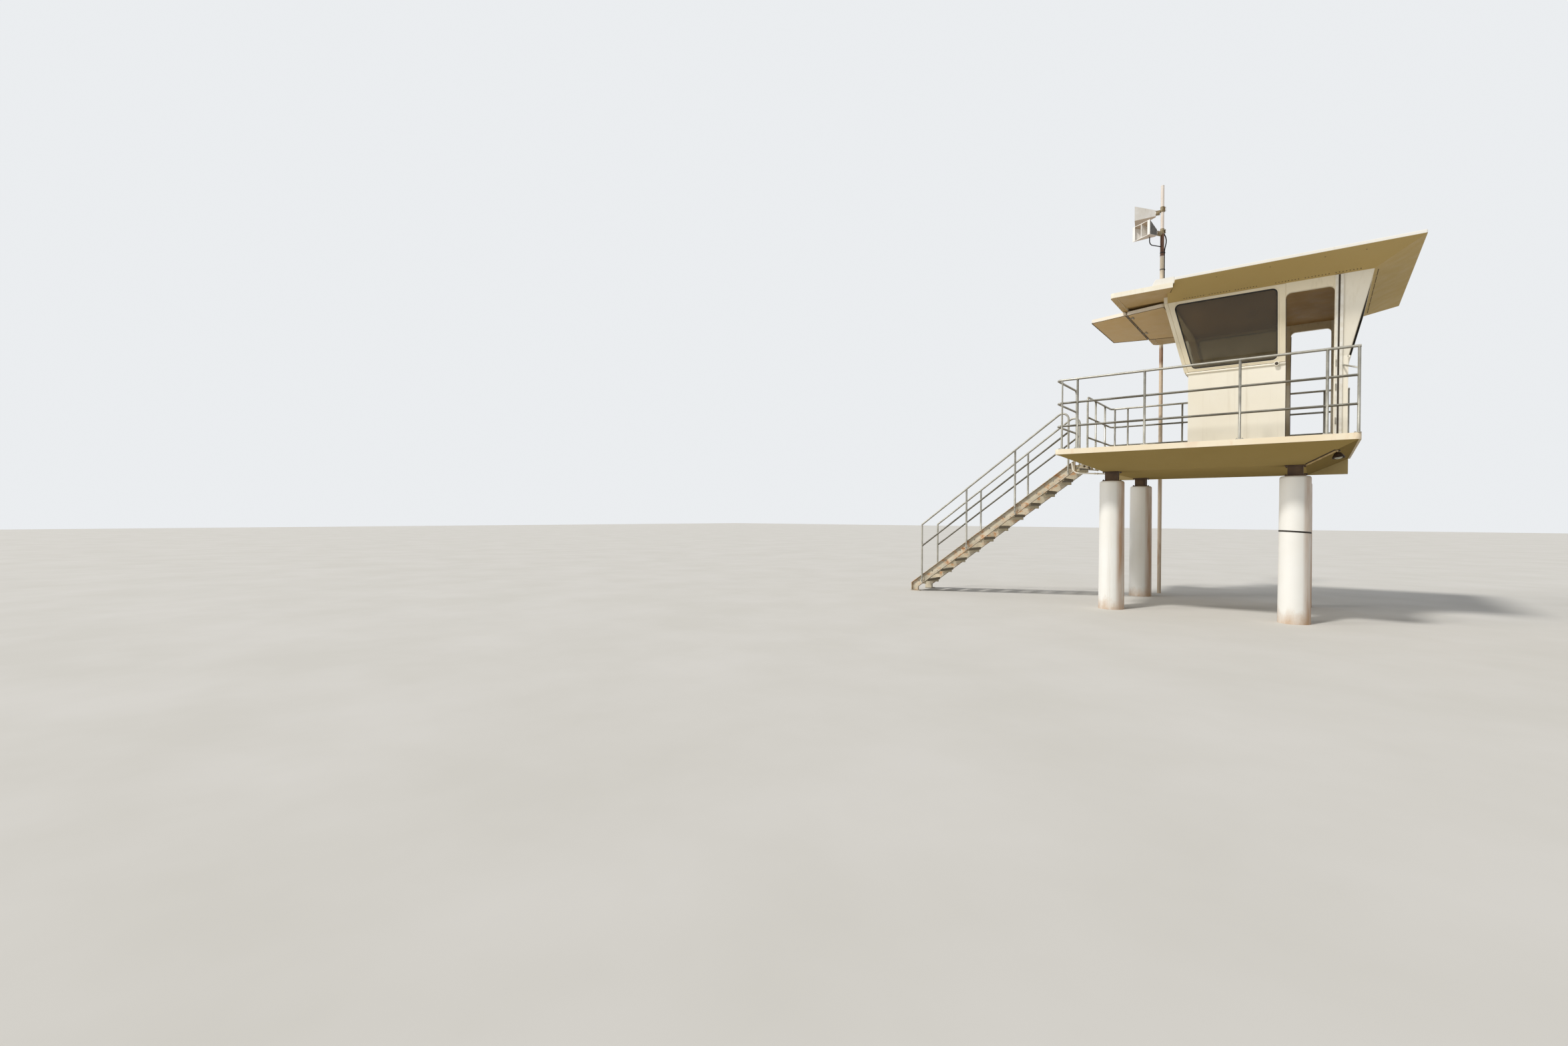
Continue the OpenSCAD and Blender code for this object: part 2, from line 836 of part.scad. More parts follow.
// Cable of the lower horn: down from its underside, round a bend and back to the mast
module horn_cable() {
    x0 = horn_reach[1] - horn_l;
    x = x0 + cable_in;
    z = -lerp(throat_h, horn_h, cable_in / horn_l) / 2 - cable_drop;
    color("black") translate([mast_x, mast_y, horn_z[1]]) rotate([0, 0, horn_side[1]]) difference() {
        union() {
            translate([x, 0, z]) cylinder(r = cable_r, h = 2 * cable_drop);
            translate([x - cable_bend, 0, z]) rotate([-90, 0, 0]) rotate_extrude(angle = 90)
                translate([cable_bend, 0]) circle(r = cable_r);
            tube([0, 0, z - cable_bend], [x - cable_bend, 0, z - cable_bend], cable_r);
        }
        translate([x0, 0, 0]) bell(horn_l, throat_w, throat_h, horn_w, horn_h);
        translate([0, 0, -big]) cylinder(d = mast_d, h = big);
    }
}

// Uprights of the deck rail: near row, far row and the left side, where two carry bent-down bars
module rail_uprights() {
    for (x = near_posts, y = [rail_y0, rail_y1]) upright(x, y, deck_z, top_z);
    for (i = [0, 1]) upright(rail_x0, left_posts[i], deck_z, top_z - bend_r);
    for (i = [2, 3]) upright(rail_x0, left_posts[i], deck_z, top_z);
}

// Straight bar of a long side at y, from the corner bend to x1
module long_bar(y, z, r, x1) {
    tube([near_posts[0], y, z], [x1, y, z], r);
}

module top_bar(y) {
    long_bar(y, top_z, tube_r, rail_x1 + tube_r);
}

// Bar of the left side from a corner bend to the stair, at its height z
module side_bars(z, r, y0, y1) {
    plan_bend(rail_x0 + bend_r, rail_y0 + bend_r, z, 180, bend_r, r);
    tube([rail_x0, rail_y0 + bend_r, z], [rail_x0, y0, z], r);
    plan_bend(rail_x0 + bend_r, rail_y1 - bend_r, z, 90, bend_r, r);
    tube([rail_x0, rail_y1 - bend_r, z], [rail_x0, y1, z], r);
}

// Top bar of the left side, bent down into the uprights beside the stair
module side_top_bar() {
    y0 = left_posts[0] - bend_r;
    y1 = left_posts[1] + bend_r;
    side_bars(top_z, tube_r, y0, y1);
    translate([rail_x0, y0, top_z - bend_r]) rotate([90, 0, 90]) rotate_extrude(angle = 90)
        translate([bend_r, 0]) circle(r = tube_r);
    translate([rail_x0, y1, top_z - bend_r]) rotate([90, 0, 90]) rotate([0, 0, 90]) rotate_extrude(angle = 90)
        translate([bend_r, 0]) circle(r = tube_r);
}

module rail_posts() {
    color("silver") difference() {
        rail_uprights();
        top_bar(rail_y0);
        top_bar(rail_y1);
        side_bars(top_z, tube_r, left_posts[0] - bend_r, left_posts[1] + bend_r);
    }
}

module rail_run(y) {
    top_bar(y);
    difference() {
        for (z = [mid_z, low_z]) long_bar(y, z, bar_r, rail_x1);
        rail_uprights();
    }
}

module near_rail_bars() {
    color("silver") rail_run(rail_y0);
}

module far_rail_bars() {
    color("silver") rail_run(rail_y1);
}

module left_rail_bars() {
    color("silver") {
        side_top_bar();
        difference() {
            for (z = [mid_z, low_z]) side_bars(z, bar_r, left_posts[0], left_posts[1]);
            rail_uprights();
        }
    }
}

// Thin bar from the right end upright to the doorway's post
module rail_tie() {
    color("silver") difference() {
        tube([rail_x1, rail_y0, deck_z + tie_h], [cab_x1 - tie_in, cab_y0, deck_z + tie_h + tie_rise], tie_r);
        rail_uprights();
        translate([cab_x0, cab_y0, deck_z]) cube([cab_w, cab_d, sill_h]);
    }
}

// Side view of a stringer with its upright foot, set in by t all round but open at both ends
module stringer_outline(t) {
    v = t / cos(stair_a);
    x0 = foot_x + t;
    x1 = foot_x + string_d - t;
    x2 = deck_x0 - plate_t;
    polygon([[x0, 0], [x1, 0], [x1, low_z_at(x1) + v],
        [x2, low_z_at(x2) + v], [x2, edge_z(x2) - v], [x0, edge_z(x0) - v]]);
}

// Near stringer: a channel open to the outside, and its end plate at the deck
module near_stringer() {
    top = low_z_at(deck_x0 - plate_t);
    translate([0, stair_y0, 0]) {
        difference() {
            sweep_y(0, string_b) stringer_outline(0);
            sweep_y(-string_b, string_b - web_t) stringer_outline(flange_t);
        }
        translate([deck_x0 - plate_t, -plate_out, top])
            cube([plate_t, string_b + plate_out, deck_z - plate_t - top]);
    }
}

module stair_stringers() {
    color("slategray") {
        near_stringer();
        translate([0, stair_y0 + stair_y1, 0]) mirror([0, 1, 0]) near_stringer();
    }
}

// One tread: a plank on an angle at each end
module tread(i) {
    x = back_x + going * (i - 1);
    z = first_step + rise * (i - 1) - tread_t;
    translate([x - tread_l, stair_y0 + string_b, z]) cube([tread_l, stair_w, tread_t]);
    for (y = [stair_y0 + string_b, stair_y1 - string_b - angle_w])
        translate([x - tread_l + angle_in, y, z - angle_t]) cube([tread_l - 2 * angle_in, angle_w, angle_t]);
    for (y = [stair_y0 + string_b, stair_y1 - string_b - angle_t])
        translate([x - tread_l + angle_in, y, z - angle_w]) cube([tread_l - 2 * angle_in, angle_t, angle_w]);
}

module stair_treads() {
    color("lightgray") for (i = [1 : tread_n]) tread(i);
}

// Height of the handrail's axis, and the centre of its bend over the last upright
function hand_z(x) = nose_z(x) + hand_h;
bend_x = stair_posts[3] - hand_r;
bend_z = hand_z(stair_posts[3]) - hand_r * (1 + sin(stair_a)) / cos(stair_a);

// Everything on one side of the mitre between the handrail and its lowest upright
module mitre_side(y, up) {
    translate([stair_posts[0], y, hand_z(stair_posts[0])]) rotate([0, (90 - stair_a) / 2, 0])
        translate([-far, -far, up ? 0 : -far]) cube([2 * far, 2 * far, far]);
}

// Upright of the stair rail on the outer face of a stringer, up to z
module stair_upright(x, y, z) {
    upright(x, y, low_z_at(x) + post_up, z);
}

// Top bar of the stair rail, mitred at its foot
module stair_top_bar(y) {
    x0 = stair_posts[0] - 2 * tube_d;
    x1 = bend_x - hand_r * sin(stair_a);
    difference() {
        tube([x0, y, hand_z(x0)], [x1, y, hand_z(x1)], tube_r);
        mitre_side(y, false);
    }
}

// Bends from the top bars down into the last uprights
module stair_rail_bends() {
    color("silver") for (y = stair_rail_y) translate([bend_x, y, bend_z]) rotate([90, 0, 0])
        rotate_extrude(angle = 90 + stair_a) translate([hand_r, 0]) circle(r = tube_r);
}

module stair_handrail_posts() {
    color("silver") for (y = stair_rail_y) {
        difference() {
            stair_upright(stair_posts[0], y, hand_z(stair_posts[0]) + 2 * tube_d);
            mitre_side(y, true);
        }
        difference() {
            for (i = [1, 2]) stair_upright(stair_posts[i], y, hand_z(stair_posts[i]));
            stair_top_bar(y);
        }
        stair_upright(stair_posts[3], y, bend_z);
    }
}

// Middle bar of the stair rail between two uprights
module stair_mid_bar(y, x0, x1) {
    z = hand_h - mid_drop;
    difference() {
        tube([x0, y, nose_z(x0) + z], [x1, y, nose_z(x1) + z], bar_r);
        for (x = [x0, x1]) stair_upright(x, y, hand_z(x));
    }
}

module stair_handrails() {
    color("silver") for (y = stair_rail_y) {
        stair_top_bar(y);
        for (i = [0 : 2]) stair_mid_bar(y, stair_posts[i], stair_posts[i + 1]);
    }
}

// Point under the hip between the pan's near and right slopes
function hip(t) = [col_dx + flat_edge + hip_dx * t, -flat_edge - hip_dy * t,
    pan_z + pan_h * t - conduit_drop];

// Lamp housing that narrows to its back, its stem up to the pan, and the conduit along the hip
module under_deck_lamp() {
    color("dimgray") {
        translate([lamp_x - lamp_l / 2, -lamp_side, lamp_z]) sweep_y(-lamp_w / 2, lamp_w / 2) polygon([
            [0, 0], [lamp_l, lamp_tail], [lamp_l, lamp_h - lamp_tail], [0, lamp_h]]);
        difference() {
            translate([lamp_x, -lamp_side, lamp_z + lamp_h / 2])
                cylinder(r = lamp_stem_r, h = slab_z - lamp_z - lamp_h);
            pan_body(0);
        }
        tube(hip(conduit_from), hip(conduit_to), conduit_r);
    }
}

column(0, 0);  // near_left_column
column(col_dx, 0);  // near_right_column
column(0, col_dy);  // far_left_column
column(col_dx, col_dy);  // far_right_column
column_heads();
deck_pan();
far_bulkhead();
deck_floor();
near_lower_wall();
near_window_wall();
near_door_post();
near_door_head();
far_lower_wall();
far_window_wall();
far_door_post();
far_door_head();
left_lower_wall();
left_opening_wall();
right_lower_wall();
right_window_wall();
near_window_glass();
far_window_glass();
right_window_glass();
cabin_ceiling();
near_soffit();
far_soffit();
right_soffit();
roof_top();
end_visor();
upper_shutter_leaf();
lower_shutter_leaf();
shutter_fittings();
roof_cap();
mast();
mast_brackets();
upper_horn();
lower_horn();
horn_cable();
rail_posts();
near_rail_bars();
far_rail_bars();
left_rail_bars();
rail_tie();
stair_stringers();
stair_treads();
stair_handrail_posts();
stair_handrails();
stair_rail_bends();
under_deck_lamp();
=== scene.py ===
import math

import bmesh
import bpy
from mathutils import Matrix, Vector


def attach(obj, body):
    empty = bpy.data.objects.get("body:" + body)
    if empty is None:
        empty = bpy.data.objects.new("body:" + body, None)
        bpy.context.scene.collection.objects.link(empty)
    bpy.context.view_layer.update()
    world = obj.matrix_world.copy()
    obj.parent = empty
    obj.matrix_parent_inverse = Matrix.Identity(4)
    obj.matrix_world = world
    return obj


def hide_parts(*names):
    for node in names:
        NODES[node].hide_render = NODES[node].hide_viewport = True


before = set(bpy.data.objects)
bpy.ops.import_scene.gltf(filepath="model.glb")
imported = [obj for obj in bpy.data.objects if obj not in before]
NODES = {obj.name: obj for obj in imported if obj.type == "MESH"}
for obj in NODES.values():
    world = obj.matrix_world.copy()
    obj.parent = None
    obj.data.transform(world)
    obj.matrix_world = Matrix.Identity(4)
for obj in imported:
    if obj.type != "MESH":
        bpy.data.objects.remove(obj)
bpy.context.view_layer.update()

# Sizes of the solids, in metres. Columns: spacing, height, half the width of their steel heads
COL_DX, COL_DY, COL_H, HEAD = 2.33, 2.27, 2.03, 0.0875
# Pan: height and rise, how far its flat reaches past the columns' centres, the runs of its slopes
PAN_Z, PAN_RISE, FLAT, RUN_X, RUN_Y = 2.18, 0.25, 0.1095, 0.5255, 0.6605
# Deck: top and outline
DECK_Z, DX0, DX1, DY0, DY1, MID_Y = 2.51, -0.66, 2.99, -0.795, 2.795, 1.0
# Cabin: outline of the lower walls, sill, head and lean of the upper walls
CX0, CX1, CY0, CY1, HALF_Y = 1.045, 2.875, -0.065, 2.065, 1.065
SILL, HEAD_Z, SLOPE = 3.61, 4.63, 0.24 / 1.02
# Doorway's left jamb and head; windows: right end, height range, corner radius, widths of the posts
DOOR_X0, DOOR_Z = 2.21, 4.505
WIN_X1, WIN_Z0, WIN_Z1, WIN_R, NEAR_POST, LEFT_POST = 2.12, 3.655, 4.59, 0.065, 0.065, 0.205
# Soffits, from the walls' head out to the eaves; top of the end visor
HEAD_X1, HEAD_Y0, HEAD_Y1, EAVE_X1, EAVE_Y0, EAVE_Z, VISOR_Z = 3.115, -0.305, 2.305, 3.56, -0.75, 4.82, 4.79
# Shutter: lines of the hinge, the joint and the free end, underside of the leaves
HINGE_X, JOINT_X, LEAF_X0, LEAF_Z = 0.72, 0.175, -0.382, 4.655
# Rails: outline of the centre lines, radii of uprights and bars, heights of the bars
RAIL_X0, RAIL_X1, RAIL_Y0, RAIL_Y1, TUBE, BAR = -0.63, 2.96, -0.765, 2.765, 0.017, 0.016
RAIL_H, TOP_Z = 1.07, 3.58
MID_Z, LOW_Z = DECK_Z + RAIL_H * 2 / 3, DECK_Z + RAIL_H / 3
# Stair: treads, their pitch, the first one's height and back edge, stringers' outer faces and depth,
# how far the stringers' top edge lies under the noses, handrail over the noses, middle bar under it
TREADS, GOING, RISE, FIRST, BACK_X, TREAD_L = 11, 0.283, 0.2102, 0.238, -3.392, 0.25
STAIR_Y0, STAIR_Y1, STRINGER_D, EDGE, HAND_H, HAND_GAP = 0.34, 1.0, 0.145, 0.026, 0.942, 0.418
STAIR_A = math.atan2(RISE, GOING)
# Mast: axis, height, its joint at the lower horn
MAST_X, MAST_Y, MAST_H, JOINT_Z = 0.203, 2.95, 7.8, 6.875
# Horns: height and azimuth of each; start and length of the lower one's bell, from the mast's axis
HORNS = ((7.29, 189), (6.872, 236))
HORN_X0, HORN_L = 0.157, 0.355


# ---------------------------------------------------------------- materials
def lin(code):
    """Linear colour of a hexadecimal sRGB code."""
    c = [int(code[i:i + 2], 16) / 255 for i in (0, 2, 4)]
    return tuple(x / 12.92 if x <= 0.04045 else ((x + 0.055) / 1.055) ** 2.4 for x in c) + (1.0,)


class Mat:
    """A node material round one Principled shader, with position and normal at hand."""

    def __init__(self, name, rough=0.5, metal=0.0, spec=0.5):
        self.m = bpy.data.materials.new(name)
        self.m.use_nodes = True
        self.t = self.m.node_tree
        self.b = self.t.nodes["Principled BSDF"]
        self.b.inputs["Roughness"].default_value = rough
        self.b.inputs["Metallic"].default_value = metal
        self.b.inputs["Specular IOR Level"].default_value = spec
        self.co = self.t.nodes.new("ShaderNodeTexCoord").outputs["Object"]
        s = self.node("ShaderNodeSeparateXYZ", Vector=self.co)
        self.x, self.y, self.z = s.outputs[0], s.outputs[1], s.outputs[2]
        g = self.t.nodes.new("ShaderNodeNewGeometry")
        s = self.node("ShaderNodeSeparateXYZ", Vector=g.outputs["Normal"])
        self.nx, self.ny, self.nz = s.outputs[0], s.outputs[1], s.outputs[2]
        self.normal = None

    def put(self, socket, value):
        """Link a socket, or set a plain value."""
        if hasattr(value, "is_linked"):
            self.t.links.new(value, socket)
        else:
            socket.default_value = value

    def node(self, kind, **inputs):
        n = self.t.nodes.new(kind)
        for k, v in inputs.items():
            self.put(n.inputs[k], v)
        return n

    def math(self, op, a, b=0.0, clamp=False):
        n = self.t.nodes.new("ShaderNodeMath")
        n.operation = op
        n.use_clamp = clamp
        self.put(n.inputs[0], a)
        self.put(n.inputs[1], b)
        return n.outputs[0]

    def noise(self, scale, detail=3.0, rough=0.55, stretch=(1, 1, 1), shift=0.0):
        """Cloudy noise; a stretch below 1 along an axis draws it out into runs that way."""
        m = self.node("ShaderNodeMapping", Vector=self.co, Scale=stretch, Location=(shift, shift, shift))
        return self.node("ShaderNodeTexNoise", Vector=m.outputs[0], Scale=scale, Detail=detail,
                         Roughness=rough).outputs["Fac"]

    def cells(self, scale):
        return self.node("ShaderNodeTexVoronoi", Vector=self.co, Scale=scale).outputs["Distance"]

    def step(self, value, lo, hi, a=0.0, b=1.0):
        """Value mapped from lo..hi to a..b, clamped."""
        n = self.node("ShaderNodeMapRange", Value=value)
        for k, v in (("From Min", lo), ("From Max", hi), ("To Min", a), ("To Max", b)):
            n.inputs[k].default_value = v
        return n.outputs[0]

    def mix(self, fac, a, b, blend="MIX"):
        n = self.t.nodes.new("ShaderNodeMix")
        n.data_type = "RGBA"
        n.blend_type = blend
        self.put(n.inputs[0], fac)
        self.put(n.inputs[6], a)
        self.put(n.inputs[7], b)
        return n.outputs[2]

    def colour(self, value):
        self.put(self.b.inputs["Base Color"], value)

    def rough(self, value):
        self.put(self.b.inputs["Roughness"], value)

    def bump(self, height, strength, distance):
        """Relief on top of the relief that the material has so far."""
        n = self.node("ShaderNodeBump", Height=height, Strength=strength, Distance=distance)
        if self.normal:
            self.put(n.inputs["Normal"], self.normal)
        self.normal = n.outputs[0]
        self.put(self.b.inputs["Normal"], self.normal)


def weathered(name, base, alt, grime, streak=0.5, rough=0.42, spec=0.5, mottle=0.6, peel=0.25, side=None,
              foot=None, under=None, lee=0.0, dust=0.0):
    """Painted or moulded shell: two tones, grime in vertical runs, speckle, and some of these:
    side, colour of a stain on faces turned to +x, which also paints in the shade of that side; foot, (z0, z1,
    colour) of the stain near the ground; under, colour of painted shade on faces that look down, and lee, how
    dark the painted shade grows on those also turned to +x; dust on top."""
    m = Mat(name, rough=rough, spec=spec)
    big = m.step(m.noise(1.7, 4.0), 0.35, 0.68, 0.0, mottle)
    col = m.mix(big, lin(base), lin(alt))
    runs = m.step(m.noise(1.0, 5.0, 0.6, (19.0, 19.0, 0.9)), 0.52, 0.78, 0.0, streak)
    patch = m.step(m.noise(0.9, 2.0, shift=7.0), 0.42, 0.66)
    upright = m.step(m.math("ABSOLUTE", m.nz), 0.55, 0.9, 1.0, 0.15)
    col = m.mix(m.math("MULTIPLY", m.math("MULTIPLY", runs, patch), upright), col, lin(grime))
    speck = m.step(m.noise(95.0, 2.0, 0.7), 0.66, 0.74, 0.0, 0.35)
    area = m.step(m.noise(2.6, 2.0, shift=3.0), 0.45, 0.7)
    col = m.mix(m.math("MULTIPLY", speck, area), col, lin(grime))
    if side:
        run = m.step(m.noise(1.0, 5.0, 0.6, (9.0, 9.0, 0.7), shift=14.0), 0.34, 0.6, 0.3, 0.9)
        col = m.mix(m.math("MULTIPLY", run, m.step(m.nx, 0.5, 0.8)), col, lin(side))
    if foot:
        z0, z1, stain = foot
        wave = m.math("SUBTRACT", m.noise(5.0, 5.0, 0.65, (1, 1, 0.5)), 0.5)
        height = m.math("ADD", m.z, m.math("MULTIPLY", wave, 0.5))
        col = m.mix(m.step(height, z0, z1, 0.75, 0.0), col, lin(stain))
    if under:
        tone = m.mix(m.step(m.noise(1.1, 4.0), 0.35, 0.7, 0.0, 0.12), lin(under), col)
        col = m.mix(m.step(m.nz, -0.35, -0.8, 0.0, 1.0), col, tone)
        turned = m.math("MULTIPLY", m.step(m.nx, 0.15, 0.4, 0.0, lee), m.step(m.nz, -0.2, -0.5))
        col = m.mix(turned, col, lin("4a3817"))
    if dust:
        lying = m.math("MULTIPLY", m.step(m.nz, 0.5, 0.9, 0.0, dust), m.step(m.noise(3.0, 4.0), 0.35, 0.65))
        col = m.mix(lying, col, lin("a59a82"))
    m.colour(col)
    m.rough(m.step(m.noise(6.0, 3.0, shift=2.0), 0.3, 0.7, rough - 0.08, rough + 0.16))
    m.bump(m.noise(160.0, 2.0, 0.5), peel, 0.0008)
    m.bump(m.noise(3.0, 2.0, 0.5), peel * 1.4, 0.004)
    return m.m


def galvanised(name, base="c0bdb2", dark="a8a599", rust=0.25):
    """Zinc-coated tube: soft clouds of grey, painted shade on its underside, a few rust specks."""
    m = Mat(name, rough=0.36, metal=0.5)
    col = m.mix(m.step(m.noise(9.0, 4.0), 0.35, 0.65), lin(base), lin(dark))
    # Underside: painted shade
    col = m.mix(m.step(m.nz, -0.15, -0.75, 0.0, 0.75), col, lin("675d4a"))
    spot = m.math("MULTIPLY", m.step(m.noise(26.0, 5.0, 0.7, shift=4.0), 0.6, 0.7, 0.0, rust),
                  m.step(m.noise(1.6, 2.0), 0.45, 0.62))
    m.colour(m.mix(spot, col, lin("8b5b38")))
    m.rough(m.step(m.noise(12.0, 3.0), 0.3, 0.7, 0.34, 0.46))
    m.bump(m.noise(70.0, 2.0), 0.05, 0.0004)
    return m.m


def stair_paint():
    """Cream paint on the stringers, gone grey with wear and broken by rust; darker on top, painted shade
    underneath.
    """
    m = Mat("stair_steel", rough=0.55, metal=0.05)
    col = m.mix(m.step(m.noise(2.2, 4.0), 0.35, 0.65), lin("ddd2bb"), lin("c6bba2"))
    col = m.mix(m.step(m.noise(8.0, 5.0, 0.65, shift=5.0), 0.45, 0.65, 0.0, 0.6), col, lin("aca38f"))
    col = m.mix(m.step(m.nz, 0.3, 0.6, 0.0, 0.95), col, lin("453c2b"))
    # Undersides: painted shade
    col = m.mix(m.step(m.nz, -0.3, -0.7, 0.0, 0.8), col, lin("5f523d"))
    r = m.noise(6.5, 6.0, 0.68, (1, 1, 1.3), shift=9.0)
    area = m.step(m.noise(1.7, 3.0, shift=1.0), 0.34, 0.48)
    col = m.mix(m.math("MULTIPLY", m.step(r, 0.5, 0.62, 0.0, 0.8), area), col, lin("cc9258"))
    col = m.mix(m.math("MULTIPLY", m.step(r, 0.6, 0.68, 0.0, 0.9), area), col, lin("945e34"))
    m.colour(col)
    m.rough(m.step(r, 0.45, 0.65, 0.42, 0.85))
    m.bump(r, 0.3, 0.002)
    m.bump(m.noise(210.0, 2.0), 0.3, 0.0006)
    return m.m


def tread_stuff():
    """Cream boards with grain across the stair; painted shade on the undersides and back edges, dirt on top.
    """
    m = Mat("tread_board", rough=0.7)
    grain = m.noise(3.0, 5.0, 0.6, (30.0, 1.5, 30.0))
    col = m.mix(m.step(grain, 0.35, 0.65), lin("ded3b9"), lin("cbbfa2"))
    # Undersides, and back edges turned to +x: painted shade
    col = m.mix(m.step(m.nz, -0.4, -0.8, 0.0, 0.95), col, lin("3d3421"))
    col = m.mix(m.step(m.nx, 0.4, 0.8, 0.0, 0.85), col, lin("5c4f38"))
    dirt = m.math("MULTIPLY", m.step(m.noise(7.0, 4.0), 0.5, 0.68, 0.0, 0.6), m.step(m.nz, 0.4, 0.8))
    m.colour(m.mix(dirt, col, lin("93866c")))
    m.bump(grain, 0.35, 0.0015)
    m.bump(m.cells(160.0), 0.25, 0.0008)
    return m.m


def deck_stuff():
    """Deck slab: cream edge with faint orange and pink stains, a sanded top with wear, painted shade
    underneath.
    """
    m = Mat("deck_gelcoat", rough=0.5)
    col = m.mix(m.step(m.noise(1.4, 4.0), 0.35, 0.65, 0.0, 0.7), lin("f6ebd4"), lin("eedcb9"))
    s = m.noise(1.0, 5.0, 0.62, (6.0, 6.0, 2.0), shift=3.0)
    col = m.mix(m.step(s, 0.56, 0.72, 0.0, 0.4), col, lin("dfb083"))
    col = m.mix(m.step(m.noise(2.4, 4.0, shift=8.0), 0.58, 0.72, 0.0, 0.4), col, lin("e3bfa8"))
    # Faces that look down: painted shade
    col = m.mix(m.step(m.nz, -0.35, -0.8), col, lin("b8a374"))
    top = m.mix(m.step(m.noise(4.0, 5.0, 0.6), 0.4, 0.65), lin("c9bfa4"), lin("aea488"))
    top = m.mix(m.step(m.noise(0.9, 3.0), 0.5, 0.66, 0.0, 0.6), top, lin("8f866e"))
    col = m.mix(m.step(m.nz, 0.6, 0.9), col, top)
    m.colour(col)
    m.rough(m.step(m.nz, 0.6, 0.9, 0.45, 0.8))
    grit = m.math("MULTIPLY", m.cells(150.0), m.step(m.nz, 0.6, 0.9))
    m.bump(grit, 0.6, 0.002)
    m.bump(m.noise(120.0, 2.0), 0.2, 0.0008)
    return m.m


def glass_stuff():
    """Tinted brown glass with a thin film of salt that thickens towards the lower edge."""
    m = Mat("window_glass", rough=0.05)
    m.b.inputs["IOR"].default_value = 1.48
    haze = m.step(m.noise(2.0, 5.0, 0.6, (1, 1, 2.0)), 0.4, 0.75)
    low = m.math("MULTIPLY", m.step(m.z, 3.66, 4.05, 0.5, 0.0), m.step(m.noise(5.0, 5.0), 0.35, 0.7))
    m.colour(m.mix(m.math("MAXIMUM", m.math("MULTIPLY", haze, 0.5), low), lin("8a7f66"), lin("978d75")))
    m.put(m.b.inputs["Transmission Weight"], m.step(low, 0.0, 0.5, 0.92, 0.72))
    m.rough(m.step(m.noise(9.0, 4.0), 0.35, 0.75, 0.03, 0.12))
    m.bump(m.noise(1.2, 1.0), 0.04, 0.01)
    return m.m


def plain(name, a, b, rough=0.6, metal=0.0, scale=14.0, grain=180.0, strength=0.3):
    """Small trim: two tones in fine patches, with a fine grain."""
    m = Mat(name, rough=rough, metal=metal)
    m.colour(m.mix(m.step(m.noise(scale, 4.0), 0.35, 0.65), lin(a), lin(b)))
    m.rough(m.step(m.noise(scale * 2, 3.0), 0.3, 0.7, max(rough - 0.12, 0.03), min(rough + 0.12, 1.0)))
    m.bump(m.noise(grain, 2.0), strength, 0.0006)
    return m.m


def mast_stuff():
    """Pinkish white tube, tan lower down and stained under the visor; brown for a length under the lower
    horn, and a painted shadow of the visor, dark brown, for a short length under the roof."""
    m = Mat("mast_paint", rough=0.5, metal=0.1)
    col = m.mix(m.step(m.noise(3.0, 4.0), 0.35, 0.65), lin("e6dcd2"), lin("d6c7b8"))
    col = m.mix(m.step(m.z, 6.4, 6.46, 1.0, 0.0), col, lin("d9c9b0"))
    col = m.mix(m.step(m.noise(1.0, 5.0, 0.65, (16, 16, 1.6)), 0.55, 0.75, 0.0, 0.5), col, lin("9c7a60"))
    stain = m.step(m.noise(7.0, 5.0, 0.6, (1, 1, 0.3), shift=6.0), 0.56, 0.74, 0.0, 0.7)
    below = m.step(m.z, 4.68, 4.74, 1.0, 0.0)
    col = m.mix(below, col, m.mix(stain, lin("d6c4ae"), lin("a9805c")))
    # Painted shadow of the visor, dark brown, for a short length under the roof
    visor_shadow = m.math("MULTIPLY", m.step(m.z, 4.36, 4.44), below)
    col = m.mix(m.math("MULTIPLY", visor_shadow, 0.75), col, lin("82583b"))
    band = m.math("MULTIPLY", m.step(m.z, 6.452, 6.458), m.step(m.z, 6.874, 6.88, 1.0, 0.0))
    brown = m.mix(m.step(m.noise(12.0, 4.0), 0.4, 0.6), lin("5b3b28"), lin("744f36"))
    m.colour(m.mix(band, col, brown))
    m.bump(m.noise(140.0, 2.0), 0.3, 0.0008)
    return m.m


def horn_stuff(name, reach):
    """White shell; the neck and arm, up to reach from the mast's axis, are dull bronze."""
    m = Mat(name, rough=0.42)
    col = m.mix(m.step(m.noise(4.0, 4.0), 0.35, 0.7), lin("f7f4ef"), lin("e6e0d6"))
    col = m.mix(m.step(m.noise(1.0, 5.0, 0.65, (22, 22, 3)), 0.56, 0.78, 0.0, 0.35), col, lin("9c9384"))
    # Faces that look down: painted shade, tan-brown
    col = m.mix(m.step(m.nz, -0.35, -0.8, 0.0, 0.85), col, lin("b3997a"))
    dx, dy = m.math("SUBTRACT", m.x, MAST_X), m.math("SUBTRACT", m.y, MAST_Y)
    d = m.math("SQRT", m.math("ADD", m.math("MULTIPLY", dx, dx), m.math("MULTIPLY", dy, dy)))
    neck = m.mix(m.step(m.noise(18.0, 4.0), 0.4, 0.62), lin("9a8a68"), lin("6f5b3d"))
    col = m.mix(m.step(d, reach - 0.004, reach, 1.0, 0.0), col, neck)
    m.colour(col)
    m.bump(m.noise(150.0, 2.0), 0.25, 0.0007)
    return m.m


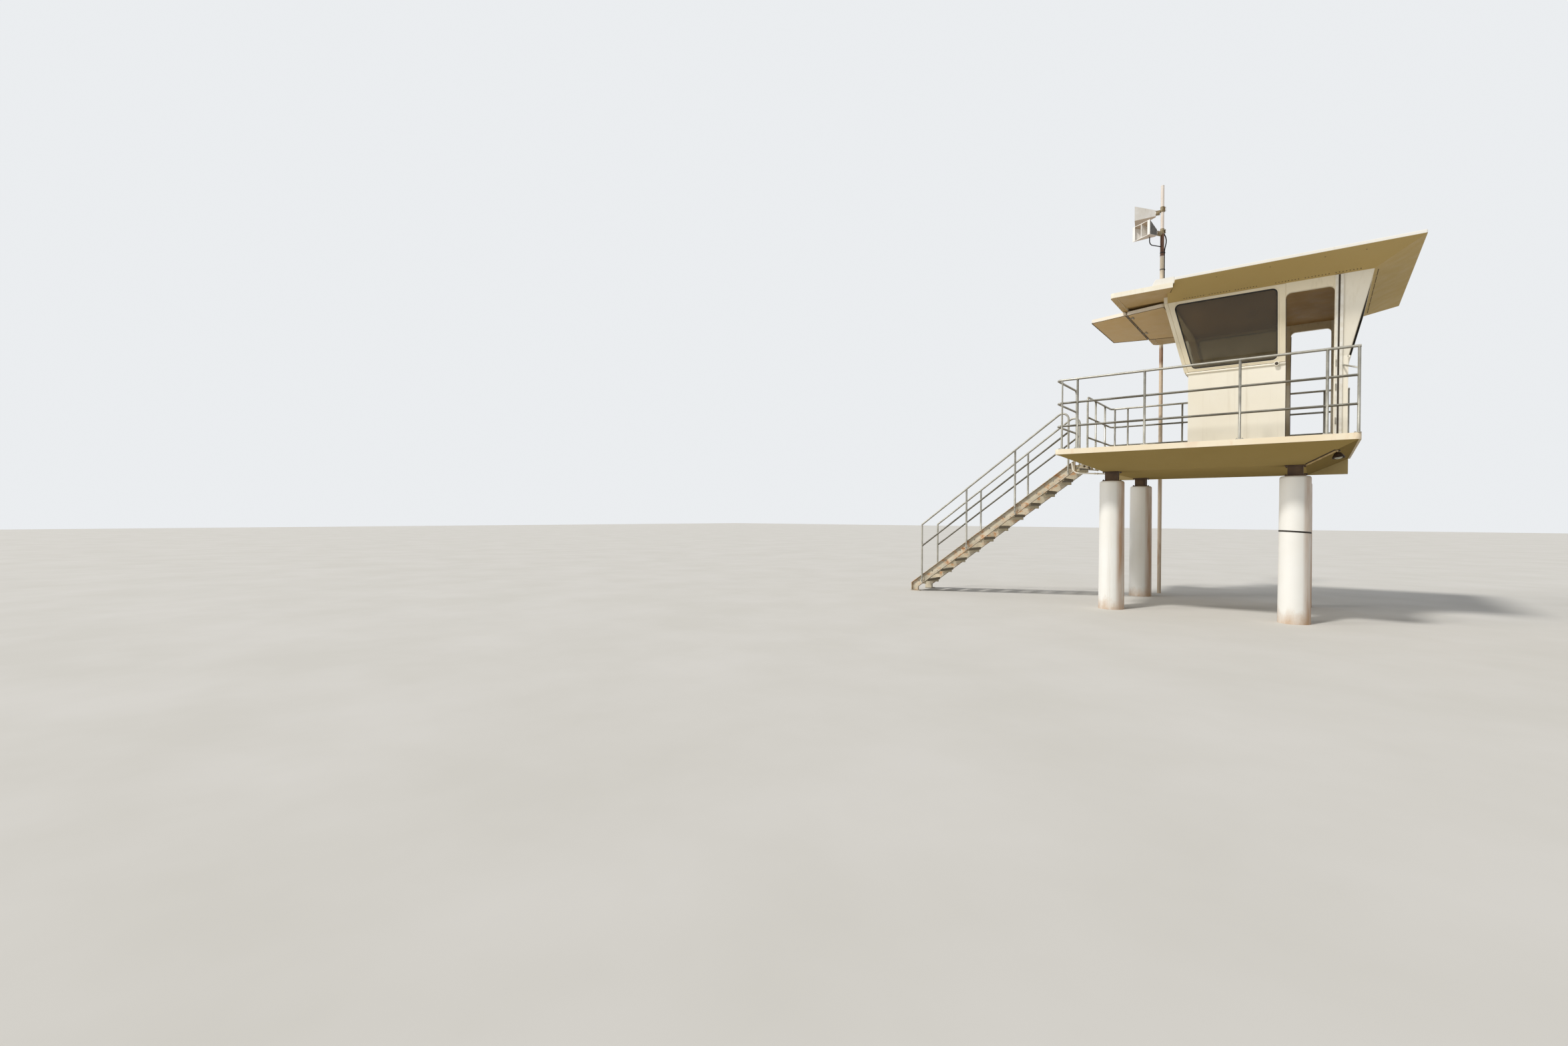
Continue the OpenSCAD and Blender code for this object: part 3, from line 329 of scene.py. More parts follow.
M = {
    # Columns: side gives the +x limb a brown stain that is also painted shade of that side
    "column": weathered("column_paint", "f3f2ed", "ebe7dc", "b39c7c", streak=0.3, rough=0.45,
                        foot=(-0.05, 0.2, "b9946c"), peel=0.35, mottle=0.45, side="ad845c"),
    "steel": plain("dark_steel", "4c3a2c", "6a5540", rough=0.7, metal=0.2, scale=9.0, strength=0.6),
    # Pan: beige darker than the walls' gelcoat, partly painted shade as it all faces down; under and lee are
    # painted shade
    "pan": weathered("gelcoat_pan", "c3b080", "b5a16f", "8f7b4d", streak=0.25, rough=0.7, spec=0.0,
                     peel=0.06, under="9b8654", lee=0.4),
    "wall": weathered("gelcoat_wall", "f5efdf", "ede3cc", "b09c78", streak=0.3, rough=0.38, mottle=0.45),
    # Upper walls: a darker, yellower copy of the walls' gelcoat, painted shade under the eaves
    "upper": weathered("gelcoat_upper", "efe4ca", "e2d4b2", "a08d62", streak=0.35),
    # Soffits: beige darker than the walls' gelcoat, partly painted shade; under is painted shade on them
    "soffit": weathered("gelcoat_soffit", "cbb98c", "bfac7d", "957f52", streak=0.15, rough=0.6, spec=0.2,
                        under="b79e66"),
    # Visor: under is painted shade on its underside
    "visor": weathered("gelcoat_visor", "f6f0df", "ece2cb", "b09a72", streak=0.2, rough=0.5, spec=0.25,
                       under="b59660"),
    "deck": deck_stuff(),
    "roof": weathered("roof_gelcoat", "efece5", "e5e1d5", "b3a78e", streak=0.3, rough=0.6, spec=0.15,
                      mottle=0.4, dust=0.18),
    # Shutter leaves: under is painted shade on their undersides
    "leaf": weathered("shutter_gelcoat", "f3eada", "ebe0ca", "b0916a", streak=0.12, rough=0.6, spec=0.2,
                      mottle=0.3, peel=0.15, under="d2b380"),
    "glass": glass_stuff(),
    "tube": galvanised("steel_tube"),
    "bright": galvanised("bolt_steel", "b5b0a2", "928c7e", 0.4),
    "stair": stair_paint(),
    "tread": tread_stuff(),
    "mast": mast_stuff(),
    "horn_a": horn_stuff("horn_shell_upper", 0.118),
    "horn_b": horn_stuff("horn_shell_lower", 0.162),
    "bronze": plain("bronze", "6b5638", "84704a", rough=0.5, metal=0.35),
    "lamp": plain("lamp_housing", "3a2c24", "52402f", rough=0.6, metal=0.2),
    "lens": plain("lamp_lens", "b9b7a5", "8f8d7d", rough=0.15, scale=40.0, strength=0.1),
    "rubber": plain("rubber_seal", "1d1c1a", "2b2926", rough=0.75),
    "white": plain("white_trim", "f2efe6", "e2dccd", rough=0.45, strength=0.15),
    "dark": plain("dark_groove_and_shade", "3d352b", "50463a", rough=0.8),
    "gasket": plain("leaf_gasket", "4f3d2a", "5e4a34", rough=0.75),
    "conduit": plain("lamp_conduit", "bfa676", "a48a5c", rough=0.6),
    "horn_rib_grime_and_shade": plain("horn_rib_grime_and_shade", "5c5955", "767269", rough=0.55),
    "strap": plain("strap_web", "2a2724", "403a33", rough=0.9, scale=60.0, grain=420.0, strength=0.8),
    # Ceiling: its tan is painted light and shade, set lighter and warmer to stand in for the light inside the
    # cabin
    "ceiling": weathered("gelcoat_ceiling", "c29e68", "aa8858", "6b5538", streak=0.1, rough=0.6),
    "floor": plain("studio_floor", "d9d6d0", "d4d1ca", rough=0.9, scale=0.6, strength=0.05),
}

FINISH = {
    "column": "near_left_column near_right_column far_left_column far_right_column",
    "steel": "column_heads mast_brackets",
    "pan": "deck_pan far_bulkhead",
    "deck": "deck_floor",
    "wall": "near_lower_wall far_lower_wall left_lower_wall right_lower_wall near_door_post far_door_post",
    "upper": "near_window_wall near_door_head far_window_wall far_door_head left_opening_wall "
             "right_window_wall",
    "soffit": "near_soffit far_soffit right_soffit",
    "ceiling": "cabin_ceiling",
    "glass": "near_window_glass far_window_glass right_window_glass",
    "roof": "roof_top roof_cap",
    "visor": "end_visor",
    "leaf": "upper_shutter_leaf lower_shutter_leaf",
    "tube": "rail_posts near_rail_bars far_rail_bars left_rail_bars rail_tie stair_handrail_posts "
            "stair_handrails stair_rail_bends",
    "bright": "shutter_fittings",
    "stair": "stair_stringers",
    "tread": "stair_treads",
    "mast": "mast",
    "horn_a": "upper_horn",
    "horn_b": "lower_horn",
    "lamp": "under_deck_lamp",
    "rubber": "horn_cable",
}

# Rounding of the solids' sharp edges, in metres
ROUND = {
    0.014: "deck_floor",
    0.01: "roof_top upper_shutter_leaf lower_shutter_leaf",
    0.008: "roof_cap end_visor deck_pan left_opening_wall",
    0.006: "far_bulkhead near_window_wall far_window_wall right_window_wall",
    0.005: "stair_treads near_lower_wall far_lower_wall left_lower_wall right_lower_wall near_door_post "
           "far_door_post",
    0.004: "column_heads under_deck_lamp",
    0.003: "mast_brackets",
    0.0022: "stair_stringers",
    0.002: "shutter_fittings",
    0.0015: "upper_horn lower_horn",
}
WELD = 0.00005


def round_edges(o, width, angle=28):
    """Round the edges of an object where its faces meet at more than an angle, in degrees."""
    b = o.modifiers.new("round", "BEVEL")
    b.width, b.segments, b.limit_method, b.angle_limit = width, 2, "ANGLE", math.radians(angle)


for key, names in FINISH.items():
    for name in names.split():
        o = NODES[name]
        if not o.data.materials:
            o.data.materials.append(M[key])
        for s in o.material_slots:
            s.material = M[key]
        o.modifiers.new("weld", "WELD").merge_threshold = WELD
for width, names in ROUND.items():
    for name in names.split():
        round_edges(NODES[name], width)


# ---------------------------------------------------------------- mesh helpers
def angles(n):
    """n equal angles round a circle."""
    return [2 * math.pi * k / n for k in range(n)]


def spokes(axis, n):
    """The axis as a unit vector, and n unit vectors round it, square to it."""
    axis = Vector(axis).normalized()
    u = axis.orthogonal().normalized()
    w = axis.cross(u)
    return axis, [u * math.cos(a) + w * math.sin(a) for a in angles(n)]


class Shape:
    """Collects forms in one mesh, which becomes a piece."""

    def __init__(self):
        self.bm = bmesh.new()

    def box(self, lo, hi, turn=None):
        """Box between two corners, turned by a matrix."""
        p = [Vector((x, y, z)) for x in (lo[0], hi[0]) for y in (lo[1], hi[1]) for z in (lo[2], hi[2])]
        v = [self.bm.verts.new(q if turn is None else turn @ q) for q in p]
        for f in ((0, 1, 3, 2), (4, 6, 7, 5), (0, 4, 5, 1), (2, 3, 7, 6), (0, 2, 6, 4), (1, 5, 7, 3)):
            self.bm.faces.new([v[i] for i in f])

    def loops(self, rings, closed=False):
        """Skin over rings of equal length, with its ends filled or joined."""
        rs = [[self.bm.verts.new(p) for p in row] for row in rings]
        n = len(rs[0])
        for a, b in list(zip(rs, rs[1:])) + ([(rs[-1], rs[0])] if closed else []):
            for i in range(n):
                self.bm.faces.new([a[i], a[(i + 1) % n], b[(i + 1) % n], b[i]])
        if not closed:
            self.bm.faces.new(rs[0][::-1])
            self.bm.faces.new(rs[-1])

    def lathe(self, origin, axis, profile, seg=16):
        """Profile of (distance along axis, radius) turned round the axis."""
        axis, rim = spokes(axis, seg)
        self.loops([[Vector(origin) + axis * d + s * r for s in rim] for d, r in profile])

    def torus(self, centre, axis, big, small, seg=20, fine=6, squash=1.0):
        """Ring of radius big round the axis, its section of radius small, squashed along the axis."""
        axis, rim = spokes(axis, seg)
        self.loops([[Vector(centre) + s * (big + small * math.cos(b)) + axis * (small * squash * math.sin(b))
                     for b in angles(fine)] for s in rim], closed=True)

    def hexbolt(self, at, axis, size):
        """Hexagon head with a washer under it; size is across the corners."""
        axis = Vector(axis).normalized()
        self.lathe(at, axis, [(0, size * 0.8), (size * 0.16, size * 0.8)], 14)
        self.lathe(Vector(at) + axis * size * 0.16, axis,
                   [(0, size / 2), (size * 0.42, size / 2), (size * 0.52, size * 0.4)], 6)

    def rivet(self, at, axis, r):
        """Domed head of radius r."""
        self.lathe(at, axis, [(0, r), (r * 0.35, r * 0.92), (r * 0.62, r * 0.6), (r * 0.72, r * 0.2)], 10)

    def tube(self, path, r, seg=10):
        """Round tube along a list of points."""
        path = [Vector(p) for p in path]
        rings = []
        side = None
        for i, p in enumerate(path):
            d = (path[min(i + 1, len(path) - 1)] - path[max(i - 1, 0)]).normalized()
            if side is None:
                side = d.orthogonal().normalized()
            side = (side - d * side.dot(d)).normalized()
            up = d.cross(side)
            rings.append([p + (side * math.cos(a) + up * math.sin(a)) * r for a in angles(seg)])
        self.loops(rings)

    def build(self, name, mat):
        """The forms as one object in the scene."""
        bmesh.ops.recalc_face_normals(self.bm, faces=self.bm.faces)
        mesh = bpy.data.meshes.new(name)
        self.bm.to_mesh(mesh)
        self.bm.free()
        mesh.materials.append(M[mat])
        o = bpy.data.objects.new(name, mesh)
        bpy.context.scene.collection.objects.link(o)
        return o

    def piece(self, name, mat, slot, replaces=(), bevel=0.0):
        """The forms as one piece of the tower, smooth but for its sharp edges."""
        o = self.build(name, mat)
        for f in o.data.polygons:
            f.use_smooth = True
        o.data.set_sharp_from_angle(angle=math.radians(38))
        if bevel:
            round_edges(o, bevel, angle=35)
        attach(o, "root")
        if replaces:
            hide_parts(*replaces)


def rounded(points, r, seg=7):
    """Convex outline, counter-clockwise, with round corners of radius r around its points."""
    out = []
    n = len(points)
    for i in range(n):
        p, a, b = Vector(points[i]), Vector(points[i - 1]), Vector(points[(i + 1) % n])
        d0, d1 = (p - a).normalized(), (b - p).normalized()
        a0, a1 = math.atan2(-d0.x, d0.y), math.atan2(-d1.x, d1.y)
        while a1 < a0:
            a1 += 2 * math.pi
        for k in range(seg + 1):
            t = a0 + (a1 - a0) * k / seg
            out.append((p.x + r * math.cos(t), p.y + r * math.sin(t)))
    return out


def keep(p):
    """The near or left side's own point, beside its mirror images on the far and right sides."""
    return Vector(p)


def mirror_y(p):
    return Vector((p[0], 2 * MID_Y - p[1], p[2]))


def mirror_x(p):
    return Vector((CX0 + CX1 - p[0], p[1], p[2]))


def near_plane(x, z, d):
    """Point on the leaning near wall, d out from its face."""
    return Vector((x, CY0 - (z - SILL) * SLOPE - d, z))


def left_plane(y, z, d):
    """Point on the leaning left wall, d out from its face."""
    return Vector((CX0 - (z - SILL) * SLOPE - d, y, z))


# Heights of the centres of a window's round corners
ZB, ZT = WIN_Z0 + WIN_R, WIN_Z1 - WIN_R


def near_window(r):
    """Outline of the near window with corners of radius r, which is WIN_R at the opening's edge."""
    def edge(z):
        return CX0 - (z - SILL) * SLOPE + NEAR_POST + WIN_R
    return rounded([(edge(ZB), ZB), (WIN_X1 - WIN_R, ZB), (WIN_X1 - WIN_R, ZT), (edge(ZT), ZT)], r)


def left_window(r):
    """Outline of the left opening and the right window, in y and z."""
    def half(z):
        return HALF_Y + (z - SILL) * SLOPE - LEFT_POST - WIN_R
    return rounded([(MID_Y + s * half(z), z) for s, z in ((-1, ZB), (1, ZB), (1, ZT), (-1, ZT))], r)


def ring(shape, outer, inner, place, d0, d1, flip=keep):
    """Closed frame between two outlines, from depth d0 to depth d1."""
    shape.loops([[flip(place(*p, d)) for p, d in ((o, d0), (o, d1), (i, d1), (i, d0))]
                 for o, i in zip(outer, inner)], closed=True)


# ---------------------------------------------------------------- windows
seal, trim = Shape(), Shape()
for outline, place, flip in ((near_window, near_plane, keep), (near_window, near_plane, mirror_y),
                             (left_window, left_plane, mirror_x)):
    ring(seal, outline(WIN_R - 0.0005), outline(WIN_R - 0.013), place, -0.0195, 0.002, flip)
    ring(trim, outline(WIN_R + 0.016), outline(WIN_R + 0.001), place, -0.001, 0.004, flip)
seal.piece("window_seals", "rubber", "window_glass")
trim.piece("window_trims", "upper", "gelcoat", bevel=0.0015)

# Seal of the open left side, on the frame's front face
lip = Shape()
ring(lip, left_window(WIN_R + 0.034), left_window(WIN_R + 0.012), left_plane, 0.049, 0.058)
lip.piece("opening_seal", "rubber", "window_glass", bevel=0.002)

# ---------------------------------------------------------------- doorway jambs
STRIP_T = 0.016


def jamb(shape, x0, x1, t, flip, z1=HEAD_Z - 0.004, deep=0.001):
    """Strip up the near wall's face, upright to the sill, then leaning; t out of it and deep into it."""
    rings = []
    for z, lean in ((DECK_Z + 0.002, 0), (SILL, 0), (z1, 1)):
        y = CY0 - (z - SILL) * SLOPE * lean
        rings.append([flip((x, y + d, z)) for x, d in ((x0, deep), (x0, -t), (x1, -t), (x1, deep))])
    shape.loops(rings)


pale, dark, barrels = Shape(), Shape(), Shape()
for flip in (keep, mirror_y):
    jamb(pale, 2.734, 2.762, STRIP_T, flip)
    jamb(pale, 2.782, 2.816, STRIP_T, flip)
    jamb(dark, 2.762, 2.782, 0.005, flip)
    # Dark strip set into the doorway's left reveal: painted shade inside the doorway
    jamb(dark, DOOR_X0 + 0.0005, DOOR_X0 + 0.0065, -0.004, flip, z1=DOOR_Z - 0.07, deep=0.044)
    for z in (2.75, 3.2, 3.52):
        for k in range(3):
            barrels.lathe(flip((2.748, CY0 - STRIP_T - 0.006, z - 0.045 + 0.03 * k)), (0, 0, 1),
                          [(0.001, 0.006), (0.029, 0.006)], 10)

# Dark centre of the round knob at the sill beside each doorway, and the shadow gap round its root
KNOB_X, KNOB_Z = 2.11, SILL - 0.015
for s, y in ((-1, CY0), (1, CY1)):
    dark.lathe((KNOB_X, y + s * 0.0455, KNOB_Z), (0, s, 0),
               [(-0.002, 0.0215), (0.0022, 0.021), (0.003, 0.017), (0.0012, 0.013), (0.0042, 0.011),
                (0.0052, 0.005)], 24)
    dark.torus((KNOB_X, y + s * 0.0235, KNOB_Z), (0, 1, 0), 0.0305, 0.0016, 32, 6)
pale.piece("door_jamb_strips", "white", "gelcoat", bevel=0.003)
dark.piece("door_track_and_shade", "dark", "gelcoat")
barrels.piece("door_hinges", "bright", "steel_tube")

# ---------------------------------------------------------------- vents and grooves
# Rows of small vent holes near the walls' head, with a gap after each eight, and rivets near the eaves
vent = Shape()
SOFFIT_N = Vector((0, EAVE_Z - HEAD_Z, -(HEAD_Y0 - EAVE_Y0))).normalized()
VENT_T, VENT_R, VENT_PITCH, RIGHT_VENTS, RIGHT_END = 0.085, 0.0055, 0.034, 62, 0.14


def soffit_near(x, t):
    """Point on the near soffit's face, t of the way out from the wall's head."""
    return Vector((x, HEAD_Y0 + (EAVE_Y0 - HEAD_Y0) * t, HEAD_Z + (EAVE_Z - HEAD_Z) * t))


for flip in (keep, mirror_y):
    for x0, x1 in ((1.02, 1.92), (2.10, 2.98)):
        n = int((x1 - x0) / VENT_PITCH)
        for i in range(n + 1):
            if i % 9 != 8:
                a = soffit_near(x0 + (x1 - x0) * i / n, VENT_T) + SOFFIT_N * 0.0012
                vent.tube([flip(a), flip(a + Vector((0, -0.007, 0.003)))], VENT_R, 8)
    normal = SOFFIT_N if flip is keep else Vector((0, -SOFFIT_N.y, SOFFIT_N.z))
    for x in (1.45, 2.05, 2.62, 3.02):
        vent.rivet(flip(soffit_near(x, 0.8)), normal, 0.007)
for i in range(RIGHT_VENTS):
    if i % 9 != 8:
        y = HEAD_Y0 + RIGHT_END + i * (HEAD_Y1 - HEAD_Y0 - 2 * RIGHT_END) / (RIGHT_VENTS - 1)
        a = Vector((HEAD_X1 + (EAVE_X1 - HEAD_X1) * VENT_T, y, HEAD_Z + (EAVE_Z - HEAD_Z) * VENT_T - 0.0012))
        vent.tube([a, a + Vector((0.007, 0, 0.003))], VENT_R, 8)
vent.piece("soffit_vents", "dark", "gelcoat")

# Dark line over the sill's bead on all four sides
groove = Shape()
G0, G1 = SILL + 0.0005, SILL + 0.0075
groove.box((CX0 - 0.004, CY0 - 0.003, G0), (DOOR_X0 - 0.002, CY0 + 0.001, G1))
groove.box((CX0 - 0.004, CY1 - 0.001, G0), (DOOR_X0 - 0.002, CY1 + 0.003, G1))
groove.box((CX0 - 0.003, CY0, G0), (CX0 + 0.001, CY1, G1))
groove.box((CX1 - 0.001, CY0, G0), (CX1 + 0.003, CY1, G1))
groove.piece("sill_grooves", "dark", "gelcoat")

# ---------------------------------------------------------------- rails
# Foot plates with bolts, weld beads at the bars, and the rounded ends of the top bars
NEAR_X = [-0.56, -0.33, 0.5906, 1.7394, 2.65485, 2.96]
SPAN = RAIL_Y1 - STAIR_Y1
LEFT_Y = [STAIR_Y0 - 0.02, STAIR_Y1 + 0.02, STAIR_Y1 + 0.33 * SPAN, STAIR_Y1 + 0.72 * SPAN]
PLATE, PLATE_T, RIM = 0.045, 0.008, 0.002
UP, BESIDE = (0, 0, 1), TUBE - 0.001
foot, weld, bolt = Shape(), Shape(), Shape()


def bar_weld(x, y, z, axis):
    """Bead round a bar where it meets an upright."""
    weld.torus((x, y, z), axis, BAR + 0.0005, 0.003, 20, 6)


def top_weld(x, y):
    """Bead round an upright's head under the top bar."""
    weld.torus((x, y, TOP_Z - TUBE + 0.002), UP, TUBE, 0.0032, 20, 6)


for x, y in [(x, y) for x in NEAR_X for y in (RAIL_Y0, RAIL_Y1)] + [(RAIL_X0, y) for y in LEFT_Y]:
    lo = Vector((max(x - PLATE, DX0 + RIM), max(y - PLATE, DY0 + RIM), DECK_Z - 0.001))
    hi = Vector((min(x + PLATE, DX1 - RIM), min(y + PLATE, DY1 - RIM), DECK_Z + PLATE_T))
    foot.box(lo, hi)
    weld.torus((x, y, DECK_Z + 0.0085), UP, TUBE + 0.001, 0.0045, 24, 6, 0.9)
    for i in (0.15, 0.85):
        for j in (0.15, 0.85):
            p = Vector((lo.x + (hi.x - lo.x) * i, lo.y + (hi.y - lo.y) * j, DECK_Z + PLATE_T))
            if (p.xy - Vector((x, y))).length > TUBE + 0.009:
                bolt.hexbolt(p, UP, 0.013)
for y in (RAIL_Y0, RAIL_Y1):
    for x in NEAR_X:
        for z in (MID_Z, LOW_Z):
            for s in (-1, 1) if x < NEAR_X[-1] else (-1,):
                bar_weld(x + s * BESIDE, y, z, (1, 0, 0))
        if x > NEAR_X[0]:
            top_weld(x, y)
    weld.lathe((RAIL_X1 + BESIDE, y, TOP_Z), (1, 0, 0),
               [(0, TUBE + 0.0005), (0.0018, TUBE - 0.001), (0.0028, TUBE * 0.55)], 20)
for y, sides in zip(LEFT_Y, ((-1,), (1,), (-1, 1), (-1, 1))):
    for z in (MID_Z, LOW_Z):
        for s in sides:
            bar_weld(RAIL_X0, y + s * BESIDE, z, (0, 1, 0))
for y in LEFT_Y[2:]:
    top_weld(RAIL_X0, y)
foot.piece("rail_foot_plates", "tube", "steel_tube", bevel=0.002)


# ---------------------------------------------------------------- stair
def nose_z(x):
    """Height of the line through the treads' noses."""
    return FIRST + (x + TREAD_L - BACK_X) / GOING * RISE


FOOT_X = BACK_X - TREAD_L - 0.078
POST0, POST1 = FOOT_X + 0.24, DX0 - 0.1
STAIR_POSTS = [POST0 + (POST1 - POST0) * i / 3 for i in range(4)]
NOSE_IN, STRIP_IN = 0.056, 0.075
nosing, sole = Shape(), Shape()
for i in range(TREADS):
    x0, z = BACK_X + GOING * i - TREAD_L, FIRST + RISE * i
    y0, y1 = STAIR_Y0 + NOSE_IN, STAIR_Y1 - NOSE_IN
    nosing.box((x0 - 0.003, y0, z - 0.034), (x0 + 0.0005, y1, z + 0.002))
    nosing.box((x0 - 0.003, y0, z - 0.0005), (x0 + 0.034, y1, z + 0.003))
    y0, y1 = STAIR_Y0 + STRIP_IN, STAIR_Y1 - STRIP_IN
    for k in range(4):
        x = x0 + 0.06 + 0.045 * k
        nosing.box((x, y0, z - 0.0005), (x + 0.012, y1, z + 0.0016))
    for y, s in ((STAIR_Y0 + 0.041, -1), (STAIR_Y1 - 0.041, 1)):
        for k in (0.07, 0.18):
            bolt.hexbolt((x0 + k, y, z - 0.045), (0, s, 0), 0.018)
    for y in (y0, y1):
        for k in (0.055, 0.205):
            bolt.lathe((x0 + k, y, z), UP, [(0, 0.009), (0.002, 0.008), (0.003, 0.004)], 12)
for y, s in ((STAIR_Y0, -1), (STAIR_Y1, 1)):
    y0, y1 = sorted((y - s * 0.05, y + s * 0.018))
    sole.box((FOOT_X, y0, 0.0), (FOOT_X + STRINGER_D + 0.05, y1, 0.01))
    for k in (0.03, STRINGER_D + 0.02):
        bolt.hexbolt((FOOT_X + k, y + s * 0.008, 0.01), UP, 0.016)
    for k in range(3):
        bolt.hexbolt((DX0 - 0.012, y - s * 0.02, 2.27 + 0.075 * k), (-1, 0, 0), 0.016)
nosing.piece("tread_nosings", "tread", "tread_board", bevel=0.0008)
sole.piece("stair_foot_plates", "stair", "stair_steel", bevel=0.002)

# Bolts of the handrails' uprights, and weld beads on their middle bars
uphill = Vector((math.cos(STAIR_A), 0, math.sin(STAIR_A)))
for y, s in ((STAIR_Y0 - TUBE, -1), (STAIR_Y1 + TUBE, 1)):
    for x, ends in zip(STAIR_POSTS, ((1,), (-1, 1), (-1, 1), (-1,))):
        for k in (0.035, 0.105):
            z = nose_z(x) - EDGE - STRINGER_D / math.cos(STAIR_A) + 0.02 + k
            bolt.hexbolt((x, y + s * (TUBE - 0.002), z), (0, s, 0), 0.014)
        for q in ends:
            at = Vector((x, y, nose_z(x) + HAND_H - HAND_GAP))
            weld.torus(at + uphill * q * (TUBE / math.cos(STAIR_A) - 0.001), uphill, BAR, 0.003, 18, 6)
weld.piece("weld_beads", "bright", "steel_tube")
bolt.piece("bolt_heads", "bright", "steel_tube")

# ---------------------------------------------------------------- column heads
# A plate with four bolts at each end of each head
HEAD_PLATE_T, OVER, BOLT_OUT = 0.012, 0.03, 0.016
plates, studs = Shape(), Shape()
for x in (0, COL_DX):
    for y in (0, COL_DY):
        e = HEAD + OVER
        plates.box((x - e, y - e, COL_H - 0.0005), (x + e, y + e, COL_H + HEAD_PLATE_T))
        plates.box((x - e, y - e, PAN_Z - HEAD_PLATE_T), (x + e, y + e, PAN_Z - 0.0005))
        for i in (-1, 1):
            for j in (-1, 1):
                bx, by = x + i * (HEAD + BOLT_OUT), y + j * (HEAD + BOLT_OUT)
                studs.hexbolt((bx, by, COL_H + HEAD_PLATE_T), UP, 0.018)
                studs.hexbolt((bx, by, PAN_Z - HEAD_PLATE_T), (0, 0, -1), 0.018)
plates.piece("head_plates", "steel", "dark_steel", bevel=0.002)
studs.piece("head_bolts", "steel", "dark_steel")

# ---------------------------------------------------------------- lamp
LAMP_RUN = 0.326
LAMP = Vector((COL_DX + FLAT + LAMP_RUN, -0.3, PAN_Z + PAN_RISE * LAMP_RUN / RUN_X + 0.004))
LAMP_AXIS = Vector((0.16, -0.12, -1.0)).normalized()
shade, bulb = Shape(), Shape()
shade.lathe(LAMP, LAMP_AXIS,
            [(-0.012, 0.012), (0.008, 0.034), (0.014, 0.034), (0.018, 0.018), (0.03, 0.018), (0.034, 0.03),
             (0.06, 0.05), (0.098, 0.068), (0.103, 0.0705), (0.103, 0.0665), (0.095, 0.062), (0.06, 0.044),
             (0.045, 0.026)], 32)
FIN = ((0.034, 0.024), (0.034, 0.034), (0.088, 0.067), (0.088, 0.058))
for out in spokes(LAMP_AXIS, 8)[1]:
    half = LAMP_AXIS.cross(out) * 0.0015
    shade.loops([[LAMP + LAMP_AXIS * d + out * r + half * s for d, r in FIN] for s in (-1, 1)])
bulb.lathe(LAMP, LAMP_AXIS, [(0.05, 0.02), (0.066, 0.024), (0.085, 0.04), (0.096, 0.043), (0.105, 0.039),
                             (0.112, 0.024), (0.114, 0.008)], 24)
shade.piece("lamp_shade", "lamp", "lamp_housing", replaces=("under_deck_lamp",))
bulb.piece("lamp_bulb", "lens", "lamp_housing")


def hip(t, drop=0.0):
    """Point on the pan's hip between its near and right slopes, from the flat to the corner."""
    return Vector((COL_DX + FLAT + RUN_X * t, -FLAT - RUN_Y * t, PAN_Z + PAN_RISE * t - drop))


# Conduit along the hip to the lamp, its saddles, and a painted shadow on both sides of it
PIPE_R, PIPE_DROP, HIP0, HIP1 = 0.011, 0.0115, 0.02, 0.6
pipe, pipe_shadow = Shape(), Shape()
along = (hip(1) - hip(0)).normalized()
pipe.tube([hip(t, PIPE_DROP) for t in (HIP0, 0.57, HIP1)] + [(2.765, -0.47, 2.3215), (2.768, -0.33, 2.324)],
          PIPE_R, 16)
for t in (0.1, 0.3, 0.5):
    pipe.lathe(hip(t, PIPE_DROP) - along * 0.009, along,
               [(0, 0.0112), (0, 0.0132), (0.018, 0.0132), (0.018, 0.0112)], 18)
for normal, away in ((Vector((0, -PAN_RISE, -RUN_Y)).normalized(), Vector((-1, 0, 0))),
                     (Vector((PAN_RISE, 0, -RUN_X)).normalized(), Vector((0, 1, 0)))):
    u = normal.cross(along)
    u = u if u.dot(away) > 0 else -u
    pipe_shadow.loops([[hip(t) + u * a + normal * h
                for a, h in ((0.003, 0), (0.021, 0), (0.021, 0.0012), (0.003, 0.0012))] for t in (HIP0, HIP1)])
pipe.piece("lamp_conduit", "conduit", "lamp_housing")
pipe_shadow.piece("conduit_shadow", "dark", "gelcoat")


# ---------------------------------------------------------------- under the stair's head
def bend(a, b, c, n):
    """Points of the curve from a to c that is drawn towards b."""
    return [tuple((1 - t) ** 2 * a[k] + 2 * t * (1 - t) * b[k] + t * t * c[k] for k in (0, 1))
            for t in (i / n for i in range(n + 1))]


# White conduit from the near stringer's head to the pan's flat, in x and z, with two couplings
white = Shape()
y = STAIR_Y0 - 0.0125
route = [(-0.702, 2.375), (-0.696, 2.33)] + bend((-0.692, 2.3), (-0.683, 2.204), (-0.585, 2.197), 8)
route += [(-0.4, 2.184), (-0.24, 2.1735), (-0.16, 2.1675), (-0.05, 2.1672)]
white.tube([(x, y, z) for x, z in route], 0.0115, 16)
for x, z in ((-0.345, 2.1805), (-0.305, 2.178)):
    white.lathe((x, y, z), (1, 0, -0.066), [(0, 0.0118), (0.002, 0.016), (0.018, 0.016), (0.02, 0.0118)], 18)
white.piece("stair_conduit", "white", "stair_steel")

# Four-cornered bracket with a round hole inside each stringer: corners and hole, in x and z
CORNERS = [Vector(p) for p in ((-0.6, 2.285), (-0.44, 2.266), (-0.468, 2.3495), (-0.535, 2.3815))]
HOLE, HOLE_R = Vector((-0.505, 2.312)), 0.021


def to_edge(d):
    """How far the bracket's edge lies from the hole's centre along the unit vector d."""
    best = math.inf
    for p, q in zip(CORNERS[-1:] + CORNERS[:-1], CORNERS):
        e, w = q - p, p - HOLE
        turn = d.x * e.y - d.y * e.x
        if turn:
            far, part = (w.x * e.y - w.y * e.x) / turn, (w.x * d.y - w.y * d.x) / turn
            if far > 0 and -1e-6 <= part <= 1 + 1e-6:
                best = min(best, far)
    return best


